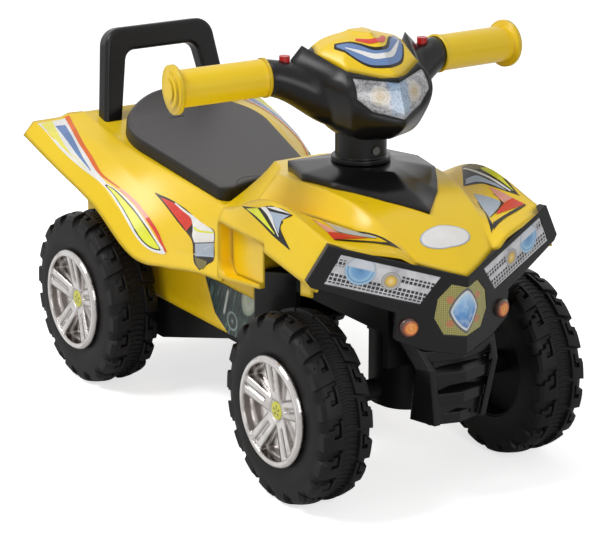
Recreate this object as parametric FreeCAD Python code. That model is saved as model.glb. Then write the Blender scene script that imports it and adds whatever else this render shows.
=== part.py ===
import FreeCAD, Part
import math
import os

# Ride-on quad bike for a small child. Lengths in millimetres, angles in degrees.
# The toy faces -Y, stands on Z = 0 and is mirrored about the plane X = 0.

# Driving dimensions
wheelbase = 392.0
front_overhang = 95.0
track = 240.5
tyre_radius = 90.0
wall = 2.5
running_gap = 0.3
shaft_gap = 0.05
overrun = 6.0

# Lengths along the body, from the front axle to the tail
seam_reach = 136.0
tank_length = 100.0
seat_front_setback = 0.5
seat_length = 226.0
seat_tail_margin = 39.5
rear_overhang = 110.0

# Places that follow from the driving dimensions: the deck carries the seat and covers the rear axle
seat_deck_length = seat_front_setback + seat_length + seat_tail_margin
axle_deck_length = wheelbase + rear_overhang - seam_reach - tank_length
deck_length = max(seat_deck_length, axle_deck_length)
body_length = front_overhang + seam_reach + tank_length + deck_length
front_axle_y = front_overhang - body_length / 2
rear_axle_y = front_axle_y + wheelbase
axle_z = tyre_radius
nose_y = front_axle_y - front_overhang
tail_y = nose_y + body_length

axis_x = FreeCAD.Vector(1, 0, 0)
axis_y = FreeCAD.Vector(0, 1, 0)
axis_z = FreeCAD.Vector(0, 0, 1)
origin = FreeCAD.Vector(0, 0, 0)
full_turn = 360.0

nodes = {}


def vec(x, y, z):
    return FreeCAD.Vector(x, y, z)


def between(start, end, share):
    return start + (end - start) * share


def box(low, high):
    size = high.sub(low)
    return Part.makeBox(size.x, size.y, size.z, low)


def rod(radius, start, end):
    run = end.sub(start)
    return Part.makeCylinder(radius, run.Length, start, run)


def tube(outer_radius, inner_radius, start, end):
    along = end.sub(start).normalize().multiply(overrun)
    return rod(outer_radius, start, end).cut(rod(inner_radius, start.sub(along), end.add(along)))


def face_of(points):
    return Part.Face(Part.makePolygon(points + points[:1]))


def prism(points, run):
    return face_of(points).extrude(run)


def plan_prism(outline, low_z, high_z):
    points = [vec(x, y, low_z) for x, y in outline]
    return prism(points, vec(0, 0, high_z - low_z))


def side_prism(outline, half_width):
    points = [vec(-half_width, y, z) for y, z in outline]
    return prism(points, vec(half_width + half_width, 0, 0))


def mirrored(shape):
    return shape.mirror(origin, axis_x)


def both_sides(outline):
    return outline + [(-x, y) for x, y in reversed(outline)]


def section_wire(half_outline, y):
    points = [vec(x, y, z) for x, z in both_sides(half_outline)]
    return Part.makePolygon(points + points[:1])


def revolve(outline, centre, axis, radial):
    points = [centre + axis * along + radial * radius for along, radius in outline]
    return face_of(points).revolve(centre, axis, full_turn)


def rounded(shape, radius, picks):
    return shape.makeFillet(radius, [edge for edge in shape.Edges if picks(edge)])


def upright(edge):
    ends = edge.Vertexes
    return len(ends) == 2 and ends[0].Point.sub(ends[1].Point).cross(axis_z).Length < shaft_gap


def group(shapes):
    return Part.makeCompound(shapes)


def add(name, shape):
    nodes[name] = shape


def add_pair(name, left_shape):
    nodes[name + "_left"] = left_shape
    nodes[name + "_right"] = mirrored(left_shape)


# Wheels: plastic tyre with block tread, spool hub and bright five-spoke hubcap
tyre_width = 54.5
lug_height = 4.5
lug_count = 18
lug_top_share = 0.60
lug_foot_share = 0.74
lug_row_width = 19.0
centre_band_height = 2.0
shoulder_cut = 2.5
tyre_wall = 2.2
bead_radius = 52.0
bead_wall = 6.0
sidewall_dip = 3.0

axle_radius = 5.0
hub_barrel_radius = 11.0
hub_barrel_length = 42.0
hub_web_start = 18.0
hub_web = 2.5
hub_rim_wall = 2.0
hub_rim_length = 50.0
washer_radius = 10.0
washer_thickness = 1.5
axle_cap_radius = 9.0
axle_cap_length = 4.0
axle_end_depth = 3.0

hubcap_radius = 52.8
hubcap_stand_out = 5.3
hubcap_ring_width = 6.5
hubcap_lip_lean = 2.5
hubcap_back = 2.0
hubcap_boss_radius = 14.0
hubcap_boss_dip = 9.0
hubcap_sticker_radius = 9.0
hubcap_sticker_dip = 0.6
spoke_count = 5
spoke_root_width = 15.0
spoke_tip_width = 20.0
spoke_groove_width = 4.0
spoke_groove_depth = 2.5
spoke_dip = 1.2
spoke_root_rise = 0.8

wheel_inner_x = (track - tyre_width) / 2
wheel_outer_x = wheel_inner_x + tyre_width
carcass_radius = tyre_radius - lug_height
hub_bore = axle_radius + shaft_gap


def lug_row(axle, start_x, end_x):
    pitch = full_turn / lug_count
    top_half = math.radians(pitch * lug_top_share / 2)
    foot_half = math.radians(pitch * lug_foot_share / 2)
    points = []
    for i in range(lug_count):
        middle = math.radians(pitch * i - full_turn / 4)
        for offset, radius in (
            (-foot_half, carcass_radius),
            (-top_half, tyre_radius / math.cos(top_half)),
            (top_half, tyre_radius / math.cos(top_half)),
            (foot_half, carcass_radius),
        ):
            angle = middle + offset
            points.append(axle + vec(start_x, radius * math.cos(angle), radius * math.sin(angle)))
    return prism(points, vec(end_x - start_x, 0, 0))


def tyre(axle):
    out_x = wheel_outer_x
    in_x = wheel_inner_x
    rows = lug_row(axle, in_x, in_x + lug_row_width).fuse(lug_row(axle, out_x - lug_row_width, out_x))
    band_start = axle + vec(in_x + lug_row_width, 0, 0)
    band_end = axle + vec(out_x - lug_row_width, 0, 0)
    tread = rows.fuse(rod(carcass_radius + centre_band_height, band_start, band_end))
    reach = tyre_radius + overrun
    shoulder = tyre_radius - shoulder_cut
    envelope = revolve(
        [
            (in_x + sidewall_dip, bead_radius),
            (in_x, bead_radius + bead_wall),
            (in_x, shoulder),
            (in_x + shoulder_cut, tyre_radius),
            (in_x + shoulder_cut, reach),
            (out_x - shoulder_cut, reach),
            (out_x - shoulder_cut, tyre_radius),
            (out_x, shoulder),
            (out_x, bead_radius + bead_wall),
            (out_x - sidewall_dip, bead_radius),
        ],
        axle,
        axis_x,
        axis_z,
    )
    cavity_start = in_x + sidewall_dip + tyre_wall
    cavity_end = out_x - sidewall_dip - tyre_wall
    cavity = revolve(
        [
            (cavity_start, bead_radius - overrun),
            (cavity_start, carcass_radius - tyre_wall),
            (cavity_end, carcass_radius - tyre_wall),
            (cavity_end, bead_radius - overrun),
        ],
        axle,
        axis_x,
        axis_z,
    )
    return tread.common(envelope).cut(cavity)


def wheel_hub(axle):
    start = wheel_inner_x + running_gap
    barrel_end = start + hub_barrel_length
    web_start = start + hub_web_start
    web_end = web_start + hub_web
    rim_start = wheel_inner_x + sidewall_dip
    rim_end = rim_start + hub_rim_length - sidewall_dip - sidewall_dip
    rim_outer = bead_radius - shaft_gap
    rim_inner = rim_outer - hub_rim_wall
    outline = [
        (start, hub_bore),
        (barrel_end, hub_bore),
        (barrel_end, hub_barrel_radius),
        (web_end, hub_barrel_radius),
        (web_end, rim_inner),
        (rim_end, rim_inner),
        (rim_end, rim_outer),
        (rim_start, rim_outer),
        (rim_start, rim_inner),
        (web_start, rim_inner),
        (web_start, hub_barrel_radius),
        (start, hub_barrel_radius),
    ]
    return revolve(outline, axle, axis_x, axis_z)


def hubcap(axle):
    seat_x = wheel_inner_x + hub_rim_length - sidewall_dip
    face_x = wheel_outer_x + hubcap_stand_out
    lip_x = wheel_outer_x + running_gap
    sleeve = bead_radius - shaft_gap
    ring_inner = hubcap_radius - hubcap_ring_width
    back_x = seat_x + hubcap_back
    boss_x = face_x - hubcap_boss_dip
    outline = [
        (seat_x, 0),
        (seat_x, sleeve),
        (lip_x, sleeve),
        (lip_x, hubcap_radius),
        (face_x - hubcap_lip_lean, hubcap_radius),
        (face_x, hubcap_radius - hubcap_lip_lean),
        (face_x, ring_inner),
        (back_x, ring_inner),
        (back_x, hubcap_boss_radius),
        (boss_x, hubcap_boss_radius),
        (boss_x, hubcap_sticker_radius),
        (boss_x - hubcap_sticker_dip, hubcap_sticker_radius),
        (boss_x - hubcap_sticker_dip, 0),
    ]
    dish = revolve(outline, axle, axis_x, axis_z)
    spoke_x = face_x - spoke_dip
    root = hubcap_sticker_radius + hubcap_sticker_dip
    tip = ring_inner + hubcap_lip_lean
    half_root = spoke_root_width / 2
    half_tip = spoke_tip_width / 2
    blade = prism(
        [
            axle + vec(back_x - hubcap_sticker_dip, -half_root, root),
            axle + vec(back_x - hubcap_sticker_dip, half_root, root),
            axle + vec(back_x - hubcap_sticker_dip, half_tip, tip),
            axle + vec(back_x - hubcap_sticker_dip, -half_tip, tip),
        ],
        vec(spoke_x - back_x + hubcap_sticker_dip, 0, 0),
    )
    root_x = boss_x + spoke_root_rise
    slope = (spoke_x - root_x) / (tip - root)
    groove_start = hubcap_boss_radius + spoke_groove_width
    half_groove = spoke_groove_width / 2
    for start, half_width, drop in ((root, half_tip, 0), (groove_start, half_groove, spoke_groove_depth)):
        low_x = root_x + slope * (start - root) - drop
        above = [
            axle + vec(low_x, -half_width, start),
            axle + vec(spoke_x - drop, -half_width, tip),
            axle + vec(spoke_x + overrun, -half_width, tip),
            axle + vec(spoke_x + overrun, -half_width, start),
        ]
        blade = blade.cut(prism(above, vec(0, half_width + half_width, 0)))
    for i in range(spoke_count):
        turned = blade.copy()
        turned.rotate(axle, axis_x, full_turn / spoke_count * i)
        dish = dish.fuse(turned)
    return dish.removeSplitter()


axle_end_x = wheel_inner_x + running_gap + hub_barrel_length + axle_end_depth
cap_start_x = wheel_inner_x + running_gap + hub_barrel_length + running_gap
sleeve_end_x = wheel_inner_x - washer_thickness - running_gap


def axle_set(name, y):
    centre = vec(0, y, axle_z)
    add(name + "_axle", rod(axle_radius, centre - axis_x * axle_end_x, centre + axis_x * axle_end_x))
    cap_end = cap_start_x + axle_cap_length
    solid_cap = rod(axle_cap_radius, centre + axis_x * cap_start_x, centre + axis_x * cap_end)
    cap = solid_cap.cut(rod(axle_radius, centre, centre + axis_x * axle_end_x))
    add(name + "_axle_caps", group([cap, mirrored(cap)]))
    washer = tube(
        washer_radius,
        hub_bore,
        centre + axis_x * sleeve_end_x,
        centre + axis_x * (sleeve_end_x + washer_thickness),
    )
    add(name + "_axle_washers", group([washer, mirrored(washer)]))


def wheels():
    for place, y in (("front", front_axle_y), ("rear", rear_axle_y)):
        axle = vec(0, y, axle_z)
        add_pair("tyre_" + place, tyre(axle))
        add_pair("wheel_hub_" + place, wheel_hub(axle))
        add_pair("hubcap_" + place, hubcap(axle))
        axle_set(place, y)


# Rear body: fenders, fins, seat rim and tank, one moulded shell
body_wall_x = 84.0
body_bottom_z = 100.0
fender_half_width = 147.0
fender_tail_z = 243.0
flange_height = 22.0
flange_lean = 11.0
deck_inner_half_width = 106.0
deck_rise = 25.0
rim_half_width = 87.0
rim_front_z = 215.1
rim_rise = 55.0
tank_top_half_width = 58.0
tank_top_z = 272.0
fin_notch_depth = 10.0
fin_inner_half_width = 98.0
tail_recess_depth = 24.0
tail_recess_half_width = 86.0
tail_lift_length = 60.0
tail_lift_height = 50.0
post_radius = 5.5
post_x = 72.0
post_spread = 18.0

# Engine window in the side wall, measured back from the seam
engine_head_setback = 94.0
engine_knee_setback = 75.6
engine_knee_z = 115.0
engine_foot_setback = 50.0
engine_head_z = 149.0

# Shares along the rear body, from the foot of the tank to the tail
rear_station_shares = (0.0, 0.109, 0.283, 0.443, 0.722, 0.865, 1.0)
fender_width_shares = (0.854, 0.864, 0.884, 0.918, 0.966, 0.983, 1.0)
fender_height_shares = (0.665, 0.645, 0.663, 0.776, 0.897, 0.949, 1.0)
flange_shares = (0.70, 0.75, 0.95, 1.0, 1.0, 0.85, 0.66)
deck_width_shares = (0.855, 0.86, 0.89, 0.94, 1.0, 1.0, 1.0)
deck_rise_shares = (0.53, 0.68, 0.96, 0.72, 0.44, 0.26, 0.10)
rim_width_shares = (0.65, 0.70, 0.81, 0.91, 0.99, 1.0, 1.0)

# Shares along the tank, from its foot forward to the seam with the front body
tank_station_shares = (0.0, 0.12, 0.35, 0.65, 1.0)
tank_fender_width_shares = (0.854, 0.851, 0.843, 0.836, 0.825)
tank_fender_height_shares = (0.665, 0.672, 0.689, 0.706, 0.712)
tank_deck_rise_shares = (0.53, 0.47, 0.38, 0.42, 0.48)
tank_width_shares = (0.975, 0.36, 0.36, 0.60, 1.0)
tank_rise_shares = (0.0, 0.50, 0.83, 0.96, 1.0)

seam_y = front_axle_y + seam_reach
tank_foot_y = seam_y + tank_length
rim_slope = rim_rise / (tail_y - tank_foot_y)
tail_recess_y = tail_y - tail_recess_depth


def rim_z_at(y):
    return rim_front_z + rim_slope * (y - tank_foot_y)


def rear_outer(flange_x, flange_z, flange_rise, deck_x, deck_z, top_x, top_z):
    shelf_x = flange_x - flange_lean
    shelf_z = flange_z + flange_rise
    return [
        (body_wall_x, body_bottom_z),
        (body_wall_x, deck_z - wall),
        (shelf_x - wall, shelf_z - wall),
        (flange_x - wall, flange_z),
        (flange_x, flange_z),
        (shelf_x, shelf_z),
        (deck_x, deck_z),
        (top_x, top_z),
    ]


def rear_inner(deck_z, top_x, top_z):
    return [
        (body_wall_x - wall, body_bottom_z - overrun),
        (body_wall_x - wall, deck_z - wall),
        (top_x - wall, top_z - wall),
    ]


def rear_sections():
    outer = []
    inner = []
    for i, share in enumerate(rear_station_shares):
        y = between(tank_foot_y, tail_y, share)
        flange_z = fender_tail_z * fender_height_shares[i]
        rise = flange_height * flange_shares[i]
        deck_z = flange_z + rise + deck_rise * deck_rise_shares[i]
        top_x = rim_half_width * rim_width_shares[i]
        deck_x = deck_inner_half_width * deck_width_shares[i]
        flange_x = fender_half_width * fender_width_shares[i]
        outline = rear_outer(flange_x, flange_z, rise, deck_x, deck_z, top_x, rim_z_at(y))
        outer.append(section_wire(outline, y))
        inner.append(section_wire(rear_inner(deck_z, top_x, rim_z_at(y)), y))
    return outer, inner


def tank_sections():
    outer = []
    inner = []
    rise = flange_height * flange_shares[0]
    for i, share in enumerate(tank_station_shares):
        y = between(tank_foot_y, seam_y, share)
        flange_z = fender_tail_z * tank_fender_height_shares[i]
        deck_z = flange_z + rise + deck_rise * tank_deck_rise_shares[i]
        top_x = tank_top_half_width * tank_width_shares[i]
        top_z = between(rim_front_z, tank_top_z, tank_rise_shares[i])
        deck_x = deck_inner_half_width * deck_width_shares[0]
        flange_x = fender_half_width * tank_fender_width_shares[i]
        outline = rear_outer(flange_x, flange_z, rise, deck_x, deck_z, top_x, top_z)
        outer.append(section_wire(outline, y))
        inner.append(section_wire(rear_inner(deck_z, top_x, top_z), y))
    return outer, inner


# Storage tub under the seat, and the opening that it hangs below
tub_front_setback = 22.0
tub_length = 158.0
tub_front_half_width = 40.0
tub_rear_half_width = 60.0
tub_floor_z = 112.0
tub_wall = 2.5
tub_corner = 8.0

tub_front_y = tank_foot_y + tub_front_setback
tub_rear_y = tub_front_y + tub_length


def tub_block(inset, low_z, high_z):
    outline = both_sides(
        [
            (tub_front_half_width - inset, tub_front_y + inset),
            (tub_rear_half_width - inset, tub_rear_y - inset),
        ]
    )
    return rounded(plan_prism(outline, low_z, high_z), tub_corner - inset, upright)


def above_rim(offset):
    top = tank_top_z + rim_rise
    outline = [
        (tank_foot_y, rim_z_at(tank_foot_y) - offset),
        (tail_y, rim_z_at(tail_y) - offset),
        (tail_y, top),
        (tank_foot_y, top),
    ]
    return side_prism(outline, fender_half_width)


def storage_tub():
    top = tank_top_z
    shell = tub_block(0, tub_floor_z, top).cut(tub_block(tub_wall, tub_floor_z + tub_wall, top + overrun))
    return shell.cut(above_rim(wall + running_gap))


def rear_body():
    rear_outer_wires, rear_inner_wires = rear_sections()
    tank_outer_wires, tank_inner_wires = tank_sections()
    outer = Part.makeLoft(rear_outer_wires, True).fuse(Part.makeLoft(tank_outer_wires, True))
    inner = Part.makeLoft(rear_inner_wires, True).fuse(Part.makeLoft(tank_inner_wires, True))
    high = tank_top_z + rim_rise
    back_wall = plan_prism(
        [
            (-fender_half_width, tail_recess_y - wall),
            (fender_half_width, tail_recess_y - wall),
            (fender_half_width, tail_y + overrun),
            (-fender_half_width, tail_y + overrun),
        ],
        0,
        high,
    )
    shell = outer.cut(inner.cut(back_wall))
    notch = both_sides(
        [
            (fender_half_width + overrun, tail_y),
            (fin_inner_half_width, tail_y - fin_notch_depth),
            (tail_recess_half_width, tail_recess_y),
        ]
    )
    notch = [(fender_half_width + overrun, tail_y + overrun)] + notch
    notch.append((-fender_half_width - overrun, tail_y + overrun))
    shell = shell.cut(plan_prism(notch, 0, high))
    lift = side_prism(
        [
            (tail_recess_y - tail_lift_length, body_bottom_z - overrun),
            (tail_y, body_bottom_z - overrun),
            (tail_y, body_bottom_z + tail_lift_height),
            (tail_recess_y, body_bottom_z + tail_lift_height),
            (tail_recess_y - tail_lift_length, body_bottom_z),
        ],
        body_wall_x + overrun,
    )
    shell = shell.cut([lift, engine_window(0)])
    shell = shell.cut(tub_block(tub_wall, tub_floor_z, high))
    posts = []
    pilots = []
    for place in tray_screw_places():
        foot = place + axis_z * wall
        posts.append(rod(post_radius, foot, vec(place.x, place.y, rim_z_at(place.y) - wall / 2)))
        pilots.append(rod(screw_radius + shaft_gap, foot - axis_z * overrun, place + axis_z * screw_length))
    return shell.fuse(posts).cut(pilots)


def engine_window(inset):
    outline = [
        (seam_y, body_bottom_z),
        (seam_y + engine_foot_setback - inset, body_bottom_z),
        (seam_y + engine_knee_setback - inset, engine_knee_z),
        (seam_y + engine_head_setback - inset, engine_head_z - inset),
        (seam_y, engine_head_z - inset),
    ]
    return side_prism(outline, body_wall_x)


# Front body: hood, front fenders and their side scoops, one moulded shell
front_half_width = 134.0
crest_half_width = 118.0
valley_half_width = 84.0
hood_half_width = 69.0
crest_z = 274.0
valley_z = 254.0
hood_z = 278.0
hood_crown = 2.0
band_z = 234.0
scoop_bottom_z = 178.0
scoop_bottom_slope = 0.14
fender_tab_x = 118.0
fender_tab_reach = 22.0
fender_tab_length = 18.0
fender_tab_low_z = 193.0
scoop_rear_depth = 22.0
scoop_front_depth = 6.0
scoop_front_reach = 53.0
scoop_rim = 5.0
scoop_corner = 14.0
nose_sweep = 19.8

# Shares along the front body, from the seam forward to the nose
front_station_shares = (0.0, 0.174, 0.391, 0.609, 0.826, 1.0)
band_width_shares = (0.933, 0.948, 0.963, 0.978, 0.993, 1.0)
band_height_shares = (0.991, 0.996, 0.974, 0.943, 0.913, 0.889)
crest_width_shares = (1.0, 1.0, 1.0, 1.0, 0.983, 0.975)
crest_height_shares = (0.898, 0.949, 1.0, 0.971, 0.927, 0.887)
valley_width_shares = (1.0, 0.976, 0.929, 0.857, 0.738, 0.69)
valley_height_shares = (0.957, 0.972, 0.992, 1.0, 0.98, 0.902)
hood_width_shares = (0.84, 1.0, 0.957, 0.84, 0.667, 0.52)
hood_height_shares = (0.978, 0.996, 1.0, 0.975, 0.888, 0.788)
crown_shares = (1.0, 1.0, 1.0, 1.0, 2.0, -0.5)

nose_tan = math.tan(math.radians(nose_sweep))
scoop_front_y = front_axle_y + scoop_front_reach


def front_sections():
    outer = []
    inner = []
    for i, share in enumerate(front_station_shares):
        y = between(seam_y, nose_y, share)
        band = (front_half_width * band_width_shares[i], band_z * band_height_shares[i])
        crest = (crest_half_width * crest_width_shares[i], crest_z * crest_height_shares[i])
        valley = (valley_half_width * valley_width_shares[i], valley_z * valley_height_shares[i])
        hood = (hood_half_width * hood_width_shares[i], hood_z * hood_height_shares[i])
        middle = (0, hood[1] + hood_crown * crown_shares[i])
        bottom_z = scoop_bottom_z + scoop_bottom_slope * (seam_y - y)
        outer_half = [(band[0], bottom_z), band, crest, valley, hood]
        inner_half = [
            (band[0] - wall, scoop_bottom_z - overrun),
            (band[0] - wall, band[1]),
            (crest[0] - wall, crest[1] - wall - wall),
            (valley[0], valley[1] - wall),
            (hood[0] - wall, hood[1] - wall),
        ]
        inner_y = between(seam_y - wall, nose_y, share)
        outer.append(front_wire(outer_half, middle, y))
        inner.append(front_wire(inner_half, (0, middle[1] - wall), inner_y))
    return outer, inner


def front_wire(half_outline, middle, y):
    mirror_half = [(-x, z) for x, z in reversed(half_outline)]
    points = [vec(x, y, z) for x, z in half_outline + [middle] + mirror_half]
    return Part.makePolygon(points + points[:1])


def nose_prism(setback, half_width):
    apex = nose_y + setback
    wing = apex + nose_tan * half_width
    ahead = nose_y - overrun
    outline = [(0, apex), (half_width, wing), (half_width, ahead), (-half_width, ahead), (-half_width, wing)]
    return plan_prism(outline, 0, hood_z + crest_z)


def scoop_block(inset, front_y):
    reach_x = front_half_width + overrun
    inner_x = front_half_width - scoop_rim + inset
    rear_y = seam_y - inset
    outline = [
        (reach_x, rear_y),
        (inner_x - scoop_rear_depth, rear_y),
        (inner_x - scoop_front_depth, front_y),
        (reach_x, front_y),
    ]
    low_z = scoop_bottom_z + inset
    end_y = front_y - overrun
    below = side_prism(
        [
            (seam_y, low_z),
            (end_y, low_z + scoop_bottom_slope * (seam_y - end_y)),
            (end_y, 0),
            (seam_y, 0),
        ],
        reach_x,
    )
    return plan_prism(outline, low_z, band_z + wall - inset).cut(below)


def along_x(edge):
    ends = edge.Vertexes
    return ends[0].Point.sub(ends[1].Point).cross(axis_x).Length < shaft_gap


def front_body(outer, inner):
    liner = outer.common(scoop_block(0, scoop_front_y))
    shell = outer.cut(inner)
    posts = [front_post(y).common(outer) for y in (front_axle_y, tray_front_y)]
    shell = shell.fuse(posts + [mirrored(post) for post in posts])
    shell = shell.fuse([liner, mirrored(liner)])
    arch = side_prism(
        [
            (scoop_front_y, scoop_bottom_z - overrun),
            (scoop_front_y, band_z * band_height_shares[2]),
            (nose_y, band_z * band_height_shares[5]),
            (nose_y - overrun, band_z * band_height_shares[5]),
            (nose_y - overrun, scoop_bottom_z - overrun),
        ],
        front_half_width + overrun,
    )
    tab_y = front_axle_y - fender_tab_reach
    tab = box(
        vec(fender_tab_x, tab_y, fender_tab_low_z),
        vec(fender_tab_x + wall, tab_y + fender_tab_length, crest_z),
    )
    tab = tab.common(outer)
    shell = shell.cut(arch).fuse([tab, mirrored(tab)])
    pocket = scoop_block(wall, scoop_front_y - overrun)
    low_z = scoop_bottom_z + scoop_bottom_slope * (seam_y - scoop_front_y) + overrun
    pocket = rounded(pocket, scoop_corner, lambda e: along_x(e) and e.BoundBox.ZMax < low_z)
    shell = shell.cut([pocket, mirrored(pocket)])
    return shell.cut(nose_prism(0, front_half_width + overrun))


def front_post(y):
    foot = vec(tray_neck_half_width - wall / 2, y, frame_top_z)
    return rod(post_radius, foot, vec(foot.x, y, hood_z - wall))


# Chassis tray: black pan under the body, with the rear axle bosses and the ribs that carry the tub
tray_bottom_z = 58.0
tray_belly_reach = 74.0
tray_nose_setback = 49.0
tray_nose_depth = 5.0
tray_neck_half_width = 55.0
tray_neck_length = 30.0
tray_prong_width = 6.0
tray_notch_half_width = 62.0
rear_boss_radius = 9.5
rear_boss_length = 30.0
rib_x = 26.0

tray_rear_y = tail_recess_y - tail_lift_length
tray_front_y = seam_y - tray_neck_length


def tray_block(inset, lift):
    plan = both_sides(
        [
            (tray_neck_half_width - inset, tray_front_y + inset),
            (tray_neck_half_width - inset, seam_y + inset),
            (body_wall_x - inset, seam_y + inset),
            (body_wall_x - inset, tray_rear_y - inset),
        ]
    )
    nose_z = body_bottom_z - tray_nose_depth + inset
    profile = [
        (tray_rear_y, body_bottom_z + lift),
        (tray_rear_y, tray_bottom_z + inset),
        (rear_axle_y - tray_belly_reach, tray_bottom_z + inset),
        (seam_y + tray_nose_setback, nose_z),
        (tray_front_y, nose_z),
        (tray_front_y, body_bottom_z + lift),
    ]
    return plan_prism(plan, 0, body_bottom_z + lift).common(side_prism(profile, body_wall_x))


def tray_screw_places():
    places = []
    for y in (rear_axle_y - post_spread, rear_axle_y + post_spread):
        for x in (-post_x, post_x):
            places.append(vec(x, y, tray_bottom_z))
    return places


def chassis_tray():
    shell = tray_block(0, 0).cut(tray_block(wall, overrun))
    notch = both_sides(
        [
            (tray_neck_half_width - tray_prong_width, tray_front_y - overrun),
            (tray_neck_half_width - tray_prong_width, seam_y + wall),
            (tray_notch_half_width, seam_y + wall + overrun),
            (tray_notch_half_width, seam_y + tray_nose_setback),
        ]
    )
    shell = shell.cut(plan_prism(notch, 0, body_bottom_z + overrun))
    centre = vec(0, rear_axle_y, axle_z)
    boss_end = centre + axis_x * sleeve_end_x
    boss = rod(rear_boss_radius, boss_end - axis_x * rear_boss_length, boss_end)
    low = vec(rib_x, rear_axle_y - tray_belly_reach, tray_bottom_z + wall)
    rib = box(low, vec(rib_x + wall, tub_rear_y - tub_corner, tub_floor_z))
    shell = shell.fuse([boss, mirrored(boss), rib, mirrored(rib)])
    reach = axis_x * (sleeve_end_x + overrun)
    shell = shell.cut(rod(hub_bore, centre - reach, centre + reach))
    for place in tray_screw_places():
        shell = shell.cut(rod(screw_radius + shaft_gap, place - axis_z * overrun, place + axis_z * overrun))
    return shell


# Screws with pan heads
screw_radius = 2.0
screw_head_radius = 4.0
screw_head_height = 1.6
screw_length = 12.0


def screw(seat, inward):
    shank = rod(screw_radius, seat, seat + inward * screw_length)
    return shank.fuse(rod(screw_head_radius, seat - inward * screw_head_height, seat))


def tray_screws():
    return group([screw(place, axis_z) for place in tray_screw_places()])


# Front frame: black tub between the front wheels, which carries the steering
frame_floor_z = 160.0
frame_top_z = 205.0
frame_front_reach = 49.0
frame_leg_width = 5.0
frame_apron_z = 128.0
frame_apron_depth = 8.0
spindle_radius = 9.0
shaft_radius = 5.0
column_setback = 79.0

column_y = front_axle_y + column_setback
frame_front_y = front_axle_y - frame_front_reach
frame_back_y = seam_y - wall


def front_frame():
    half_width = tray_neck_half_width
    shell = box(vec(-half_width, frame_front_y, frame_floor_z), vec(half_width, frame_back_y, frame_top_z))
    inset = vec(wall, wall, wall)
    hollow_high = vec(half_width - wall, frame_back_y - wall, frame_top_z + overrun)
    shell = shell.cut(box(vec(-half_width, frame_front_y, frame_floor_z) + inset, hollow_high))
    leg = box(
        vec(half_width - frame_leg_width, tray_front_y, body_bottom_z),
        vec(half_width, frame_back_y, frame_floor_z + wall),
    )
    apron = box(
        vec(-half_width, frame_front_y, frame_apron_z),
        vec(half_width, frame_front_y + frame_apron_depth, frame_floor_z + wall),
    )
    shell = shell.fuse([leg, mirrored(leg), apron])
    for y, radius in ((front_axle_y, spindle_radius), (column_y, shaft_radius)):
        low = vec(0, y, frame_floor_z - overrun)
        shell = shell.cut(rod(radius + shaft_gap, low, vec(0, y, frame_floor_z + wall + overrun)))
    return shell


# Steering: turret with the front axle, two equal arms, drag link, shaft and column
turret_radius = 35.5
turret_bottom_z = 76.0
turret_foot_radius = 30.0
turret_foot_height = 3.0
axle_sleeve_radius = 10.0
steering_arm_length = 32.0
arm_z = 175.0
arm_thickness = 4.0
arm_hub_radius = 14.0
arm_eye_radius = 7.0
link_pin_radius = 3.0
link_bar_width = 8.0
shaft_bottom_depth = 2.0
shaft_top_z = 345.0
column_radius = 24.5
column_bore = 15.0
column_bottom_z = 262.0
column_web = 8.0
column_top_z = 326.0
collar_radius = 28.0
collar_z = 289.3
collar_height = 5.0
column_screw_z = 303.0

arm_top_z = arm_z + arm_thickness
link_z = arm_top_z + running_gap
link_top_z = link_z + arm_thickness
pin_top_z = link_top_z + running_gap + arm_thickness


def steering_turret():
    axle = vec(0, front_axle_y, axle_z)
    top = vec(0, front_axle_y, frame_floor_z - running_gap)
    drum = rod(turret_radius, vec(0, front_axle_y, turret_bottom_z), top)
    foot_low = vec(0, front_axle_y, turret_bottom_z - turret_foot_height)
    foot = rod(turret_foot_radius, foot_low, vec(0, front_axle_y, turret_bottom_z))
    spindle = rod(spindle_radius, top, vec(0, front_axle_y, arm_top_z))
    sleeve = rod(axle_sleeve_radius, axle - axis_x * sleeve_end_x, axle + axis_x * sleeve_end_x)
    turret = drum.fuse([foot, spindle, sleeve])
    reach = axis_x * (sleeve_end_x + overrun)
    return turret.cut(rod(hub_bore, axle - reach, axle + reach))


def arm_with_pin(y, hub_radius, bore, hub_low_z):
    hub = rod(hub_radius, vec(0, y, hub_low_z), vec(0, y, arm_top_z))
    eye = vec(steering_arm_length, y, arm_z)
    bar = box(
        vec(0, y - link_bar_width / 2, arm_z),
        vec(steering_arm_length, y + link_bar_width / 2, arm_top_z),
    )
    boss = rod(arm_eye_radius, eye, eye + axis_z * arm_thickness)
    pin = rod(link_pin_radius, eye, vec(steering_arm_length, y, pin_top_z))
    arm = hub.fuse([bar, boss, pin])
    return arm.cut(rod(bore, vec(0, y, hub_low_z - overrun), vec(0, y, arm_top_z + overrun)))


def drag_link():
    front = vec(steering_arm_length, front_axle_y, link_z)
    back = vec(steering_arm_length, column_y, link_z)
    up = axis_z * arm_thickness
    half = axis_x * (link_bar_width / 2)
    bar = box(front - half, back + half + up)
    link = bar.fuse([rod(arm_eye_radius, front, front + up), rod(arm_eye_radius, back, back + up)])
    clear = axis_z * overrun
    link = link.cut(rod(link_pin_radius + running_gap, front - clear, front + up + clear))
    return link.cut(rod(link_pin_radius + shaft_gap, back - clear, back + up + clear))


def steering_column():
    bore = shaft_radius + shaft_gap
    collar_top = collar_z + collar_height
    outline = [
        (column_bottom_z, bore),
        (column_bottom_z, column_radius),
        (collar_z, column_radius),
        (collar_z, collar_radius),
        (collar_top, collar_radius),
        (collar_top, column_radius),
        (column_top_z, column_radius),
        (column_top_z, column_bore),
        (column_bottom_z + column_web, column_bore),
        (column_bottom_z + column_web, bore),
    ]
    column = revolve(outline, vec(0, column_y, 0), axis_z, axis_x)
    seat = column_screw_seat()
    return column.cut(rod(screw_radius + shaft_gap, seat - axis_y * overrun, seat + axis_y * screw_length))


def column_screw_seat():
    return vec(0, column_y - column_radius, column_screw_z)


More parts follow.
